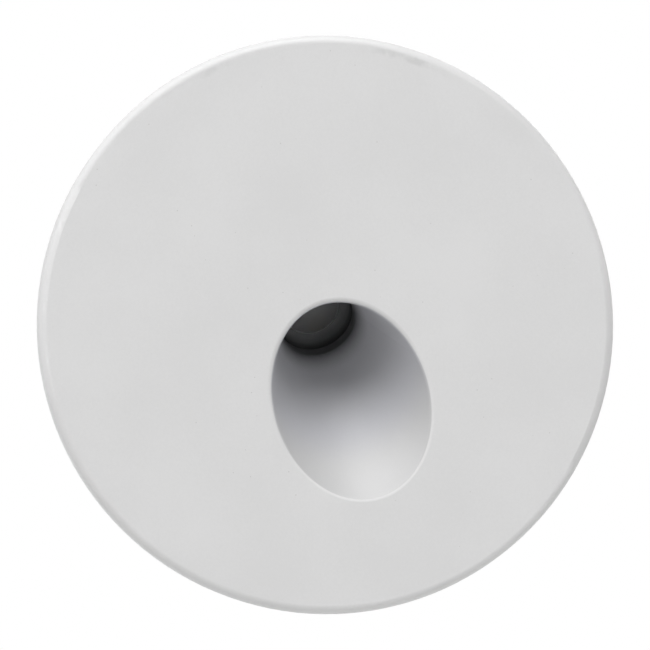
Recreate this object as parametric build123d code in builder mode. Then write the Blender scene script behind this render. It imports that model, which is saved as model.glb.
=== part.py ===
from build123d import *
from math import asin, ceil, cos, degrees, pi, radians, sin, sqrt, tan
import os

# A round recessed LED step light. Millimetres, +Z up, the face looks along -Y.
# The origin is the centre of the face gasket's back, so y = 0 is the wall's surface
# and everything with y > 0 is inside the wall.

# Clearances and sheet sizes shared by several pieces
slip_gap = 0.1
seat_gap = 0.3
stop_gap = 0.15
running_gap = 0.06
thread_gap = 0.03
cut_margin = 1.0

# Faceplate: a turned disc with a thick ring that the rear housing is screwed to
face_radius = 40.0
face_standoff = 5.0
face_edge_radius = 1.2
face_web = 2.8
rim_gap = 0.3
rim_land = 0.6
pad_rim = 0.8
pad_edge_radius = 0.5
joint_depth = 0.5

# Face gasket, in the recess between the rim and the ring
gasket_inner_gap = 1.9
gasket_thickness = 1.3

# Light well: a cone whose axis rises from the face into the wall
well_tilt = radians(35.7)
well_taper = radians(19.7)
well_drop = 7.7
well_mouth_radius = 10.45
well_length = 14.2
well_wall = 1.6
mouth_edge_radius = 0.7
gusset_thickness = 2.0
gusset_height = 20.0

# Optical socket at the top of the well, and the stack of pieces in it
ledge_thickness = 0.6
socket_bore_radius = 8.0
socket_wall = 1.4
seal_thickness = 0.8
glass_thickness = 1.2
holder_length = 9.2
baffle_depth = 1.3
baffle_rim = 1.4
ear_spacing = 24.0
ear_radius = 3.2
ear_length = 6.5
lens_flange_radius = 5.2
lens_flange_thickness = 1.2
lens_face_radius = 3.8
lens_dome_height = 1.1
lens_height = 7.1
lens_side_bulge = 0.35
lens_base_radius = 2.4
lens_pocket_radius = 1.7
lens_pocket_depth = 2.6

# LED package, board, pad and heat sink
package_side = 3.45
package_height = 0.7
dome_radius = 1.3
board_thickness = 1.6
board_tab_width = 11.0
board_tab_drop = 4.4
board_tab_corner = 1.0
pad_thickness = 0.4
sink_width = 32.0
sink_height = 19.0
sink_base = 4.0
sink_corner = 3.0
fin_count = 5
fin_pitch = 3.6
fin_thickness = 1.5
fin_height = 9.0
fin_tip_radius = 0.5

# Rear housing: a ribbed cup with a flange
cup_bore_radius = 22.4
cup_wall = 2.0
cup_back_wall = 2.4
cup_depth = 42.0
cup_corner_radius = 3.0
flange_rim = 0.8
flange_thickness = 3.0
flange_root_radius = 0.8
flange_root_gap = 0.4
flange_edge_radius = 0.6
rib_height = 2.6
rib_thickness = 1.4
rib_angles = (30, 60, 75, 90, 105, 120, 150, 210, 240, 255, 270, 285, 300, 330)
rib_end_slope = 5.0
ring_groove_step = 0.2
ring_groove_width = 1.8
ring_groove_depth = 1.0
ring_bevel = 0.3

# Screws: one thread size for the housing, brackets and heat sink, one for the earth
screw_radius = 1.25
screw_head_radius = 2.1
screw_head_height = 1.6
screw_head_rounding = 0.45
screw_socket_radius = 0.85
screw_socket_depth = 0.6
screw_hole_gap = 0.15
screw_bite = 3.4
housing_screw_count = 4
earth_screw_radius = 1.5
earth_head_radius = 2.7
earth_head_height = 2.0
earth_socket_radius = 1.2
earth_washer_radius = 3.2
earth_washer_thickness = 0.6
earth_boss_radius = 3.2
earth_boss_height = 4.5
earth_place = (-12.5, 8.5)

# Driver, in the lower half of the cup
tray_length = 22.9
tray_end_gap = 1.3
tray_wall = 1.0
tray_top = -9.0
tray_rail_width = 2.2
tray_rail_height = 1.2
tray_notch_width = 12.0
driver_board_top = -13.4
driver_board_thickness = 1.6
driver_board_margin = 0.5
lead_radius = 0.6
lead_spacing = 6.0
lead_stub = 3.0
lead_bend = 2.6

# Driver parts: their places are measured from the middle of the board's front edge, or, where
# the second number is negative, from the middle of its back edge
transformer_place = (-9.2, -5.9)
core_size = (9.0, 9.6)
core_corner = 0.4
core_foot = 2.2
core_top = 1.8
winding_size = (7.6, 8.6)
winding_corner = 2.6
winding_height = 4.2
film_capacitor_place = (10.0, -4.9)
film_capacitor_size = (5.0, 9.0)
film_capacitor_corner = 0.6
film_capacitor_height = 7.0
round_capacitor_place = (9.6, 5.0)
round_capacitor_radius = 3.15
round_capacitor_height = 7.2
inductor_place = (-9.4, 4.0)
inductor_flange_radius = 3.2
inductor_flange_height = 1.0
inductor_core_radius = 2.4
inductor_core_height = 3.0
chip_place = (0, 3.0)
chip_size = (5.0, 4.0)
chip_height = 1.5

# Terminal block, at the back edge of the driver board
terminal_side_step = 0.6
terminal_edge_gap = 0.4
terminal_width = 10.0
terminal_depth = 7.0
terminal_height = 8.0
terminal_pitch = 5.0
terminal_screw_radius = 1.7
terminal_screw_depth = 2.5
wire_mouth_side = 3.0
wire_mouth_floor = 0.9
wire_mouth_depth = 4.5

# Cable gland in the back wall
gland_drop = 11.0
gland_thread_radius = 6.0
gland_hex_flat = 15.0
gland_hex_height = 4.0
gland_hex_bevel = 0.6
gland_neck_radius = 5.5
gland_neck_length = 6.0
gland_seal_radius = 4.2
gland_seal_wall = 1.1
gland_seal_length = 9.0
gland_seal_proud = 2.0
gland_seal_bevel = 0.66
gland_nut_flat = 14.0
gland_nut_length = 9.5
gland_nut_hex = 4.8
gland_nut_bevel = 0.5
gland_nut_dome = 2.0
gland_inlet_gap = 0.6
locknut_flat = 15.0
locknut_height = 2.6

# Retaining clips, one each side, hinged at the back and flared out towards the face
clip_pin_depth = 31.0
clip_flare = radians(14.0)
clip_pad_width = 14.0
clip_pad_margin = 7.0
clip_pad_rise = 0.3
bracket_sheet = 1.0
bracket_width = 11.2
bracket_reach = 15.5
bracket_margin = 2.0
bracket_corner = 1.5
bracket_screw_offsets = (12.0, 6.5)
boss_radius = 2.6
boss_height = 3.2
boss_floor = 1.0
pin_radius = 1.0
pin_head_radius = 1.7
pin_head_height = 0.7
knuckle_radius = 2.2
wing_sheet = 0.7
wing_ear_sheet = 0.8
wing_heel = 4.4
wing_channel = 9.0
wing_reach = 21.5
wing_curl_radius = 2.0
wing_curl_turn = 110
sleeve_wall = 0.6
sleeve_length = 6.0
stop_width = 6.2
spring_wire_radius = 0.35
spring_coil_radius = 1.6
spring_pitch = 1.15
spring_turns = 3
spring_short_leg = 5.0
spring_long_leg = 8.0
spring_touch_gap = 0.05
spring_check_steps = 60


os.makedirs("parts", exist_ok=True)


def save(piece, name):
    """Label one finished sub-part and write its STEP file."""
    piece.label = name
    export_step(piece, f"parts/{name}.step")


def face_plane(depth):
    """The plane parallel to the wall at that depth: x to the right, y up, facing the viewer."""
    return Plane.XZ.offset(-depth)


def back_plane(depth):
    """The same plane seen from inside the wall: its normal points away from the viewer."""
    return Plane(origin=(0, depth, 0), x_dir=(-1, 0, 0), z_dir=(0, 1, 0))


def clear_hole(radius):
    """The radius of the clear hole for a screw of that radius."""
    return radius + screw_hole_gap


def pan_screw(shank_radius, length, head_radius, head_height, socket_radius):
    """A pan-head screw with a hexagon socket. Its head stands on the XY plane, its shank goes down."""
    with BuildPart() as screw:
        with BuildSketch():
            Circle(head_radius)
        extrude(amount=head_height)
        fillet(screw.edges().group_by(Axis.Z)[-1], head_height * screw_head_rounding)
        with BuildSketch():
            Circle(shank_radius)
        extrude(amount=-length)
        with BuildSketch(Plane.XY.offset(head_height)):
            RegularPolygon(socket_radius, 6)
        extrude(amount=-head_height * screw_socket_depth, mode=Mode.SUBTRACT)
    return screw.part


def small_screw(length):
    """One of the small screws, of that length under the head."""
    return pan_screw(screw_radius, length, screw_head_radius, screw_head_height, screw_socket_radius)


# Places that several pieces share

# Along the well's axis: local z goes deeper, local y goes up the slope
well_origin = Vector(0, -face_standoff, -well_drop)
well_direction = Vector(0, cos(well_tilt), sin(well_tilt))
well_plane = Plane(origin=well_origin, x_dir=(-1, 0, 0), z_dir=well_direction)
# The half section of what is turned about that axis: x is the radius, y the distance along it
well_section = Plane(origin=well_origin, x_dir=(1, 0, 0), z_dir=(0, -sin(well_tilt), cos(well_tilt)))
well_axis = Axis(well_origin, well_direction)

seal_start = well_length + ledge_thickness
glass_start = seal_start + seal_thickness
holder_start = glass_start + glass_thickness
socket_end = holder_start + holder_length
lens_start = holder_start + baffle_depth
pad_start = socket_end + board_thickness
sink_start = pad_start + pad_thickness
socket_outer_radius = socket_bore_radius + socket_wall


def well_radius(along):
    """The light well's radius at that distance along its axis, from where the axis meets the face."""
    return well_mouth_radius - along * tan(well_taper)


cup_radius = cup_bore_radius + cup_wall
housing_screw_circle = cup_radius + flange_root_radius + flange_root_gap + screw_head_radius
flange_radius = housing_screw_circle + screw_head_radius + flange_rim
pad_radius = flange_radius + pad_rim
ring_groove_radius = cup_radius + ring_groove_step
gasket_outer_radius = face_radius - rim_land - slip_gap
gasket_inner_radius = pad_radius + gasket_inner_gap
cup_floor = cup_depth - cup_back_wall
clip_pad_face = cup_radius + clip_pad_rise
bracket_face = clip_pad_face + bracket_sheet
bracket_front = clip_pin_depth - bracket_reach
bracket_screw_depths = [clip_pin_depth - offset for offset in bracket_screw_offsets]
bracket_hole_depth = clip_pad_rise + cup_wall + boss_height - boss_floor
pin_place = Vector(bracket_face + knuckle_radius + seat_gap, clip_pin_depth, 0)


# Faceplate: one casting with the well, the optical socket and its two ears. The mouth's lower
# end is the furthest that the cone reaches forward, and both cones start just in front of it
mouth_drop = well_mouth_radius / (cos(well_tilt) - sin(well_tilt) * tan(well_taper))
cone_start = -mouth_drop * sin(well_tilt) - 2 * well_wall - cut_margin
cone_offset = well_wall / cos(well_taper)
socket_shoulder = (well_mouth_radius + cone_offset - socket_outer_radius) / tan(well_taper)

with BuildPart() as faceplate:
    with BuildSketch(well_section):
        with BuildLine():
            Polyline(
                (0, cone_start),
                (well_radius(cone_start) + cone_offset, cone_start),
                (socket_outer_radius, socket_shoulder),
                (socket_outer_radius, socket_end),
                (0, socket_end),
                close=True,
            )
        make_face()
    revolve(axis=well_axis)
    split(bisect_by=face_plane(-face_standoff), keep=Keep.BOTTOM)
    with BuildSketch(well_plane.offset(socket_end)):
        SlotCenterToCenter(ear_spacing, 2 * ear_radius)
    extrude(amount=-ear_length)
    with BuildSketch(Plane.YZ):
        with BuildLine():
            Polyline(
                (-face_web, gusset_height),
                (-face_web, 0),
                (well_length * cos(well_tilt), well_length * sin(well_tilt) - well_drop),
                (face_standoff, gusset_height / 2),
                close=True,
            )
        make_face()
    extrude(amount=gusset_thickness / 2, both=True)
    with BuildSketch(Plane.XY) as plate_section:
        with BuildLine():
            Polyline(
                (0, -face_standoff),
                (face_radius, -face_standoff),
                (face_radius, -rim_gap),
                (face_radius - rim_land, -rim_gap),
                (face_radius - rim_land, -gasket_thickness),
                (pad_radius, -gasket_thickness),
                (pad_radius, joint_depth),
                (cup_bore_radius - 2 * seat_gap, joint_depth),
                (cup_bore_radius - 2 * seat_gap, face_web - face_standoff),
                (0, face_web - face_standoff),
                close=True,
            )
        make_face()
        corners = plate_section.vertices()
        fillet(corners.sort_by_distance((face_radius, -face_standoff, 0))[0], face_edge_radius)
        fillet(corners.sort_by_distance((pad_radius, joint_depth, 0))[0], pad_edge_radius)
    revolve(axis=Axis.Y)
    with BuildSketch(well_section):
        with BuildLine():
            Polyline(
                (0, cone_start),
                (well_radius(cone_start), cone_start),
                (well_radius(well_length), well_length),
                (well_radius(well_length), seal_start),
                (socket_bore_radius, seal_start),
                (socket_bore_radius, socket_end + cut_margin),
                (0, socket_end + cut_margin),
                close=True,
            )
        make_face()
    revolve(axis=well_axis, mode=Mode.SUBTRACT)
    fillet(
        faceplate.edges().filter_by(GeomType.ELLIPSE).sort_by(Axis.Y)[0], mouth_edge_radius
    )
    with Locations(well_plane.offset(socket_end)):
        with GridLocations(ear_spacing, 1, 2, 1):
            Hole(screw_radius + thread_gap, depth=ear_length - boss_floor)
    with Locations(back_plane(joint_depth)):
        with PolarLocations(housing_screw_circle, housing_screw_count, start_angle=45):
            Hole(screw_radius + thread_gap, depth=screw_bite + thread_gap)
save(faceplate.part, "faceplate")


# Face gasket: a foam ring, proud of the rim by the amount that the wall squeezes it
with BuildPart() as face_gasket:
    with BuildSketch(face_plane(-gasket_thickness)):
        Circle(gasket_outer_radius)
        Circle(gasket_inner_radius, mode=Mode.SUBTRACT)
    extrude(amount=-gasket_thickness)
save(face_gasket.part, "face_gasket")


# Window: a silicone ring on the socket's ledge, and the round glass that presses on it
with BuildPart() as well_seal:
    with BuildSketch(well_plane.offset(seal_start)):
        Circle(socket_bore_radius)
        Circle(well_radius(well_length), mode=Mode.SUBTRACT)
    extrude(amount=seal_thickness)
save(well_seal.part, "well_seal")

with BuildPart() as window_glass:
    with BuildSketch(well_plane.offset(glass_start)):
        Circle(socket_bore_radius - slip_gap)
    extrude(amount=glass_thickness)
save(window_glass.part, "window_glass")


# Lens holder: a black moulded tube with a flared baffle in front of the lens
with BuildPart() as lens_holder:
    with BuildSketch(well_section):
        with BuildLine():
            Polyline(
                (socket_bore_radius - slip_gap, holder_start),
                (socket_bore_radius - slip_gap, socket_end - slip_gap),
                (lens_flange_radius + slip_gap, socket_end - slip_gap),
                (lens_flange_radius + slip_gap, lens_start),
                (lens_face_radius + slip_gap, lens_start),
                (socket_bore_radius - baffle_rim, holder_start),
                close=True,
            )
        make_face()
    revolve(axis=well_axis)
save(lens_holder.part, "lens_holder")


# Lens: a small moulded collimator with a flange, a domed front and a pocket for the LED
lens_back = lens_start + lens_height
dome_sphere = (lens_face_radius**2 + lens_dome_height**2) / (2 * lens_dome_height)
dome_centre = (0, lens_start - lens_dome_height + dome_sphere)
dome_angle = degrees(asin(lens_face_radius / dome_sphere))
with BuildPart() as tir_lens:
    with BuildSketch(well_section):
        with BuildLine():
            CenterArc(dome_centre, dome_sphere, -90, dome_angle)
            Polyline(
                (lens_face_radius, lens_start),
                (lens_flange_radius, lens_start),
                (lens_flange_radius, lens_start + lens_flange_thickness),
                (lens_flange_radius - seat_gap, lens_start + lens_flange_thickness),
            )
            SagittaArc(
                (lens_flange_radius - seat_gap, lens_start + lens_flange_thickness),
                (lens_base_radius, lens_back),
                -lens_side_bulge,
            )
            Polyline(
                (lens_base_radius, lens_back),
                (lens_pocket_radius, lens_back),
                (lens_pocket_radius, lens_back - lens_pocket_depth),
                (0, lens_back - lens_pocket_depth),
                (0, lens_start - lens_dome_height),
            )
        make_face()
    revolve(axis=well_axis)
save(tir_lens.part, "tir_lens")


# LED: a square ceramic package with its dome
with BuildPart() as led_emitter:
    with BuildSketch(well_plane.offset(socket_end)):
        Rectangle(package_side, package_side)
    extrude(amount=-package_height)
    with Locations(well_plane.offset(socket_end - package_height)):
        Sphere(dome_radius, arc_size1=-90, arc_size2=0)
save(led_emitter.part, "led_emitter")


def board_outline():
    """The board's outline: a disc with two screw ears."""
    Circle(socket_outer_radius)
    SlotCenterToCenter(ear_spacing, 2 * ear_radius)


# LED board, with a tab below the socket for the leads' solder pads
board_tab_end = socket_outer_radius + board_tab_drop
with BuildPart() as led_board:
    with BuildSketch(well_plane.offset(socket_end)):
        board_outline()
        with Locations((0, -board_tab_end / 2)):
            Rectangle(board_tab_width, board_tab_end)
        with GridLocations(ear_spacing, 1, 2, 1):
            Circle(clear_hole(screw_radius), mode=Mode.SUBTRACT)
    extrude(amount=board_thickness)
    fillet(led_board.edges().filter_by(well_axis).group_by(Axis.Z)[0], board_tab_corner)
save(led_board.part, "led_board")

with BuildPart() as thermal_pad:
    with BuildSketch(well_plane.offset(pad_start)):
        board_outline()
        with GridLocations(ear_spacing, 1, 2, 1):
            Circle(clear_hole(screw_radius), mode=Mode.SUBTRACT)
    extrude(amount=pad_thickness)
save(thermal_pad.part, "thermal_pad")


# Heat sink: a finned aluminium block, turned down to fit the round cup
fins_start = sink_start + sink_base
with BuildPart() as heat_sink:
    with BuildSketch(well_plane.offset(sink_start)):
        RectangleRounded(sink_width, sink_height, sink_corner)
        with GridLocations(ear_spacing, 1, 2, 1):
            Circle(clear_hole(screw_radius), mode=Mode.SUBTRACT)
    extrude(amount=sink_base)
    with BuildSketch(well_plane.offset(fins_start)):
        with GridLocations(fin_pitch, 1, fin_count, 1):
            Rectangle(fin_thickness, sink_height)
    extrude(amount=fin_height)
    up_the_slope = Axis(well_origin, well_plane.y_dir)
    fin_tips = heat_sink.edges().filter_by(up_the_slope).sort_by(well_axis)[-2 * fin_count :]
    fillet(fin_tips, fin_tip_radius)
    with BuildSketch(face_plane(0)):
        Circle(cup_bore_radius - 2 * seat_gap)
    extrude(amount=-cup_depth, mode=Mode.INTERSECT)
save(heat_sink.part, "heat_sink")

sink_screw = small_screw(fins_start - socket_end + ear_length - boss_floor - seat_gap)
with BuildPart() as heat_sink_screws:
    with Locations(well_plane.offset(fins_start)):
        with GridLocations(ear_spacing, 1, 2, 1):
            add(sink_screw)
save(heat_sink_screws.part, "heat_sink_screws")


# Rear housing: a die-cast cup with a flange, cooling ribs and two flat pads for the clips
flange_back = joint_depth + flange_thickness
ribs_end = cup_depth - cup_corner_radius
rib_start = joint_depth + flange_thickness / 2
clip_pad_length = clip_pin_depth + clip_pad_margin - rib_start
with BuildPart() as rear_housing:
    with BuildSketch(Plane.XY) as cup_section:
        with BuildLine():
            Polyline(
                (cup_bore_radius, joint_depth),
                (flange_radius, joint_depth),
                (flange_radius, flange_back),
                (cup_radius, flange_back),
                (cup_radius, cup_depth),
                (0, cup_depth),
                (0, cup_floor),
                (cup_bore_radius, cup_floor),
                close=True,
            )
        make_face()
        corners = cup_section.vertices()
        fillet(corners.sort_by_distance((cup_radius, cup_depth, 0))[0], cup_corner_radius)
        fillet(corners.sort_by_distance((cup_radius, flange_back, 0))[0], flange_root_radius)
        fillet(corners.sort_by_distance((flange_radius, flange_back, 0))[0], flange_edge_radius)
    revolve(axis=Axis.Y)
    for angle in rib_angles:
        outward = Vector(cos(radians(angle)), 0, sin(radians(angle)))
        with BuildSketch(Plane(origin=(0, 0, 0), x_dir=outward, z_dir=outward.cross(Vector(0, 1, 0)))):
            with BuildLine():
                Polyline(
                    (cup_radius - cup_wall / 2, rib_start),
                    (cup_radius + rib_height, rib_start),
                    (cup_radius + rib_height, ribs_end - rib_end_slope),
                    (cup_radius, ribs_end),
                    (cup_radius - cup_wall / 2, ribs_end),
                    close=True,
                )
            make_face()
        extrude(amount=rib_thickness / 2, both=True)
    for side in (-1, 1):
        with BuildSketch(Plane.YZ.offset(side * clip_pad_face)):
            with Locations((rib_start, 0)):
                Rectangle(clip_pad_length, clip_pad_width, align=(Align.MIN, Align.CENTER))
        extrude(amount=-side * (clip_pad_rise + cup_wall - slip_gap))
        with BuildSketch(Plane.YZ.offset(side * (cup_bore_radius + slip_gap))):
            with Locations(*[(depth, 0) for depth in bracket_screw_depths]):
                Circle(boss_radius)
        extrude(amount=-side * boss_height)
        with BuildSketch(Plane.YZ.offset(side * clip_pad_face)):
            with Locations(*[(depth, 0) for depth in bracket_screw_depths]):
                Circle(screw_radius + thread_gap)
        extrude(amount=-side * bracket_hole_depth, mode=Mode.SUBTRACT)
    with BuildSketch(face_plane(cup_floor)):
        with Locations(earth_place):
            Circle(earth_boss_radius)
    extrude(amount=earth_boss_height)
    with BuildSketch(face_plane(cup_floor - earth_boss_height)):
        with Locations(earth_place):
            Circle(earth_screw_radius + thread_gap)
    extrude(amount=-earth_boss_height, mode=Mode.SUBTRACT)
    with BuildSketch(face_plane(joint_depth)):
        Circle(ring_groove_radius + ring_groove_width / 2)
        Circle(ring_groove_radius - ring_groove_width / 2, mode=Mode.SUBTRACT)
    extrude(amount=-ring_groove_depth, mode=Mode.SUBTRACT)
    with BuildSketch(face_plane(joint_depth)):
        with PolarLocations(housing_screw_circle, housing_screw_count, start_angle=45):
            Circle(clear_hole(screw_radius))
    extrude(amount=-flange_thickness, mode=Mode.SUBTRACT)
    with BuildSketch(face_plane(cup_depth)):
        with Locations((0, -gland_drop)):
            Circle(gland_thread_radius + slip_gap)
    extrude(amount=cup_back_wall, mode=Mode.SUBTRACT)
save(rear_housing.part, "rear_housing")

with BuildPart() as housing_gasket:
    with BuildSketch(face_plane(joint_depth + ring_groove_depth)):
        Circle(ring_groove_radius + ring_groove_width / 2 - slip_gap)
        Circle(ring_groove_radius - ring_groove_width / 2 + slip_gap, mode=Mode.SUBTRACT)
    extrude(amount=ring_groove_depth)
    chamfer(housing_gasket.edges(), ring_bevel)
save(housing_gasket.part, "housing_gasket")

flange_screw = small_screw(flange_thickness + screw_bite - slip_gap)
with BuildPart() as housing_screws:
    with Locations(back_plane(flange_back)):
        with PolarLocations(housing_screw_circle, housing_screw_count, start_angle=45):
            add(flange_screw)
save(housing_screws.part, "housing_screws")

earth_head_seat = cup_floor - earth_boss_height - earth_washer_thickness
large_screw = pan_screw(
    earth_screw_radius,
    earth_boss_height,
    earth_head_radius,
    earth_head_height,
    earth_socket_radius,
)
with BuildPart() as earth_screw:
    with BuildSketch(face_plane(cup_floor - earth_boss_height)):
        with Locations(earth_place):
            Circle(earth_washer_radius)
            Circle(earth_screw_radius + slip_gap, mode=Mode.SUBTRACT)
    extrude(amount=earth_washer_thickness)
    with Locations(face_plane(earth_head_seat)):
        with Locations(earth_place):
            add(large_screw)
save(earth_screw.part, "earth_screw")


# Driver tray: a trough that follows the cup's round wall, with rails for the board and a
# notch in its back wall for the mains wires
tray_back = cup_floor - locknut_height - seat_gap - tray_end_gap
tray_front = tray_back - tray_length
tray_radius = cup_bore_radius - seat_gap
tray_inner_radius = tray_radius - tray_wall
driver_board_bottom = driver_board_top - driver_board_thickness
rail_edge = sqrt(tray_inner_radius**2 - driver_board_bottom**2)
driver_board_half = rail_edge - driver_board_margin
with BuildPart() as driver_tray:
    with BuildSketch(face_plane(tray_front)):
        Circle(tray_radius)
        with Locations((0, tray_top)):
            Rectangle(2 * tray_radius, 2 * tray_radius, align=(Align.CENTER, Align.MAX), mode=Mode.INTERSECT)
    extrude(amount=-tray_length)
    with BuildSketch(face_plane(tray_front + tray_wall)):
        Circle(tray_inner_radius)
        for side in (-1, 1):
            with Locations((side * (rail_edge + tray_wall), driver_board_bottom)):
                Rectangle(
                    2 * tray_rail_width,
                    tray_rail_height,
                    align=(Align.CENTER, Align.MAX),
                    mode=Mode.SUBTRACT,
                )
    extrude(amount=2 * tray_wall - tray_length, mode=Mode.SUBTRACT)
    with BuildSketch(face_plane(tray_back)):
        with Locations((0, driver_board_top)):
            Rectangle(
                tray_notch_width, tray_top - driver_board_top, align=(Align.CENTER, Align.MIN)
            )
    extrude(amount=tray_wall, mode=Mode.SUBTRACT)
save(driver_tray.part, "driver_tray")

driver_board_front = tray_front + tray_wall + seat_gap
driver_board_length = tray_length - 2 * tray_wall - 2 * seat_gap
driver_plane = Plane(origin=(0, driver_board_front, driver_board_top))
with BuildPart() as driver_board:
    with BuildSketch(driver_plane):
        Rectangle(2 * driver_board_half, driver_board_length, align=(Align.CENTER, Align.MIN))
    extrude(amount=-driver_board_thickness)
save(driver_board.part, "driver_board")


def on_board(place):
    """A driver part's place on the board, from the middle of the front edge."""
    across, along = place
    return (across, along if along > 0 else driver_board_length + along)


# Driver parts, standing on the board
with BuildPart() as driver_parts:
    # transformer: a ferrite core with its winding between the legs
    with BuildSketch(driver_plane):
        with Locations(on_board(transformer_place)):
            RectangleRounded(*core_size, core_corner)
    extrude(amount=core_foot)
    with BuildSketch(driver_plane.offset(core_foot)):
        with Locations(on_board(transformer_place)):
            RectangleRounded(*winding_size, winding_corner)
    extrude(amount=winding_height)
    with BuildSketch(driver_plane.offset(core_foot + winding_height)):
        with Locations(on_board(transformer_place)):
            RectangleRounded(*core_size, core_corner)
    extrude(amount=core_top)
    # film capacitor
    with BuildSketch(driver_plane):
        with Locations(on_board(film_capacitor_place)):
            RectangleRounded(*film_capacitor_size, film_capacitor_corner)
    extrude(amount=film_capacitor_height)
    # electrolytic capacitor
    with BuildSketch(driver_plane):
        with Locations(on_board(round_capacitor_place)):
            Circle(round_capacitor_radius)
    extrude(amount=round_capacitor_height)
    # drum inductor
    for level in (0, inductor_flange_height + inductor_core_height):
        with BuildSketch(driver_plane.offset(level)):
            with Locations(on_board(inductor_place)):
                Circle(inductor_flange_radius)
        extrude(amount=inductor_flange_height)
    with BuildSketch(driver_plane.offset(inductor_flange_height)):
        with Locations(on_board(inductor_place)):
            Circle(inductor_core_radius)
    extrude(amount=inductor_core_height)
    # control chip
    with BuildSketch(driver_plane):
        with Locations(on_board(chip_place)):
            Rectangle(*chip_size)
    extrude(amount=chip_height)
save(driver_parts.part, "driver_parts")


# Terminal block: two screw terminals with their wire mouths towards the gland
terminal_back = driver_board_length - terminal_edge_gap
with BuildPart() as terminal_block:
    with BuildSketch(driver_plane):
        with Locations((terminal_side_step, terminal_back)):
            Rectangle(terminal_width, terminal_depth, align=(Align.CENTER, Align.MAX))
    extrude(amount=terminal_height)
    with BuildSketch(driver_plane.offset(terminal_height)):
        with Locations((terminal_side_step, terminal_back - terminal_depth / 2)):
            with GridLocations(terminal_pitch, 1, 2, 1):
                Circle(terminal_screw_radius)
    extrude(amount=-terminal_screw_depth, mode=Mode.SUBTRACT)
    with BuildSketch(face_plane(driver_board_front + terminal_back)):
        with Locations((terminal_side_step, driver_board_top + wire_mouth_floor)):
            with GridLocations(terminal_pitch, 1, 2, 1):
                Rectangle(wire_mouth_side, wire_mouth_side, align=(Align.CENTER, Align.MIN))
    extrude(amount=wire_mouth_depth, mode=Mode.SUBTRACT)
save(terminal_block.part, "terminal_block")


# Leads from the LED board down to the driver board
lead_drop = socket_outer_radius + board_tab_drop / 2
with BuildPart() as led_leads:
    for side in (-1, 1):
        start = well_plane.from_local_coords((side * lead_spacing / 2, -lead_drop, socket_end))
        bend = start - well_direction * lead_stub
        with BuildLine() as route:
            FilletPolyline(start, bend, (bend.X, bend.Y, driver_board_top), radius=lead_bend)
        with BuildSketch(Plane(origin=start, z_dir=-well_direction)):
            Circle(lead_radius)
        sweep(path=route.wire())
save(led_leads.part, "led_leads")


# Cable gland: a body through the back wall, its locknut, a rubber insert and a cap nut
gland_axis_place = (0, -gland_drop)
gland_bore_radius = gland_seal_radius - gland_seal_wall
gland_neck_start = cup_depth + gland_hex_height
gland_seal_start = gland_neck_start + gland_neck_length + gland_seal_proud - gland_seal_length
with BuildPart() as gland_body:
    with BuildSketch(face_plane(cup_depth)):
        with Locations(gland_axis_place):
            RegularPolygon(gland_hex_flat / 2, 6, major_radius=False)
    extrude(amount=-gland_hex_height)
    chamfer(gland_body.edges().group_by(Axis.Y)[-1], gland_hex_bevel)
    with BuildSketch(face_plane(cup_depth)):
        with Locations(gland_axis_place):
            Circle(gland_thread_radius)
    extrude(amount=cup_back_wall + locknut_height + seat_gap)
    with BuildSketch(face_plane(gland_neck_start)):
        with Locations(gland_axis_place):
            Circle(gland_neck_radius)
    extrude(amount=-gland_neck_length)
    with BuildSketch(face_plane(cup_floor - locknut_height - cut_margin)):
        with Locations(gland_axis_place):
            Circle(gland_bore_radius + gland_inlet_gap)
    extrude(amount=-2 * cup_depth, mode=Mode.SUBTRACT)
    with BuildSketch(face_plane(gland_seal_start)):
        with Locations(gland_axis_place):
            Circle(gland_seal_radius)
    extrude(amount=-2 * cup_depth, mode=Mode.SUBTRACT)
save(gland_body.part, "gland_body")

with BuildPart() as gland_locknut:
    with BuildSketch(face_plane(cup_floor - locknut_height)):
        with Locations(gland_axis_place):
            RegularPolygon(locknut_flat / 2, 6, major_radius=False)
            Circle(gland_thread_radius, mode=Mode.SUBTRACT)
    extrude(amount=-locknut_height)
save(gland_locknut.part, "gland_locknut")

with BuildPart() as gland_seal:
    with BuildSketch(face_plane(gland_seal_start)):
        with Locations(gland_axis_place):
            Circle(gland_seal_radius)
            Circle(gland_bore_radius, mode=Mode.SUBTRACT)
    extrude(amount=-gland_seal_length)
    outer_rim = gland_seal.edges().filter_by(GeomType.CIRCLE).group_by(Axis.Y)[-1]
    chamfer(outer_rim.sort_by(SortBy.RADIUS)[-1], gland_seal_bevel)
save(gland_seal.part, "gland_seal")

gland_nut_start = gland_neck_start + seat_gap
with BuildPart() as gland_nut:
    with BuildSketch(face_plane(gland_nut_start)):
        with Locations(gland_axis_place):
            RegularPolygon(gland_nut_flat / 2, 6, major_radius=False)
    extrude(amount=-gland_nut_hex)
    chamfer(gland_nut.edges().group_by(Axis.Y)[-1], gland_nut_bevel)
    with BuildSketch(face_plane(gland_nut_start)):
        with Locations(gland_axis_place):
            Circle(gland_nut_flat / 2 - gland_nut_bevel)
    extrude(amount=-gland_nut_length)
    fillet(gland_nut.edges().group_by(Axis.Y)[-1], gland_nut_dome)
    with BuildSketch(face_plane(gland_nut_start)):
        with Locations(gland_axis_place):
            Circle(gland_neck_radius)
    extrude(amount=gland_nut_start - gland_neck_start - gland_neck_length - slip_gap, mode=Mode.SUBTRACT)
    with BuildSketch(face_plane(gland_nut_start)):
        with Locations(gland_axis_place):
            Circle(gland_seal_radius + slip_gap)
    extrude(amount=gland_nut_start - gland_seal_start - gland_seal_length, mode=Mode.SUBTRACT)
    with BuildSketch(face_plane(gland_nut_start)):
        with Locations(gland_axis_place):
            Circle(gland_bore_radius + gland_inlet_gap)
    extrude(amount=-gland_nut_length, mode=Mode.SUBTRACT)
save(gland_nut.part, "gland_nut")


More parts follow.
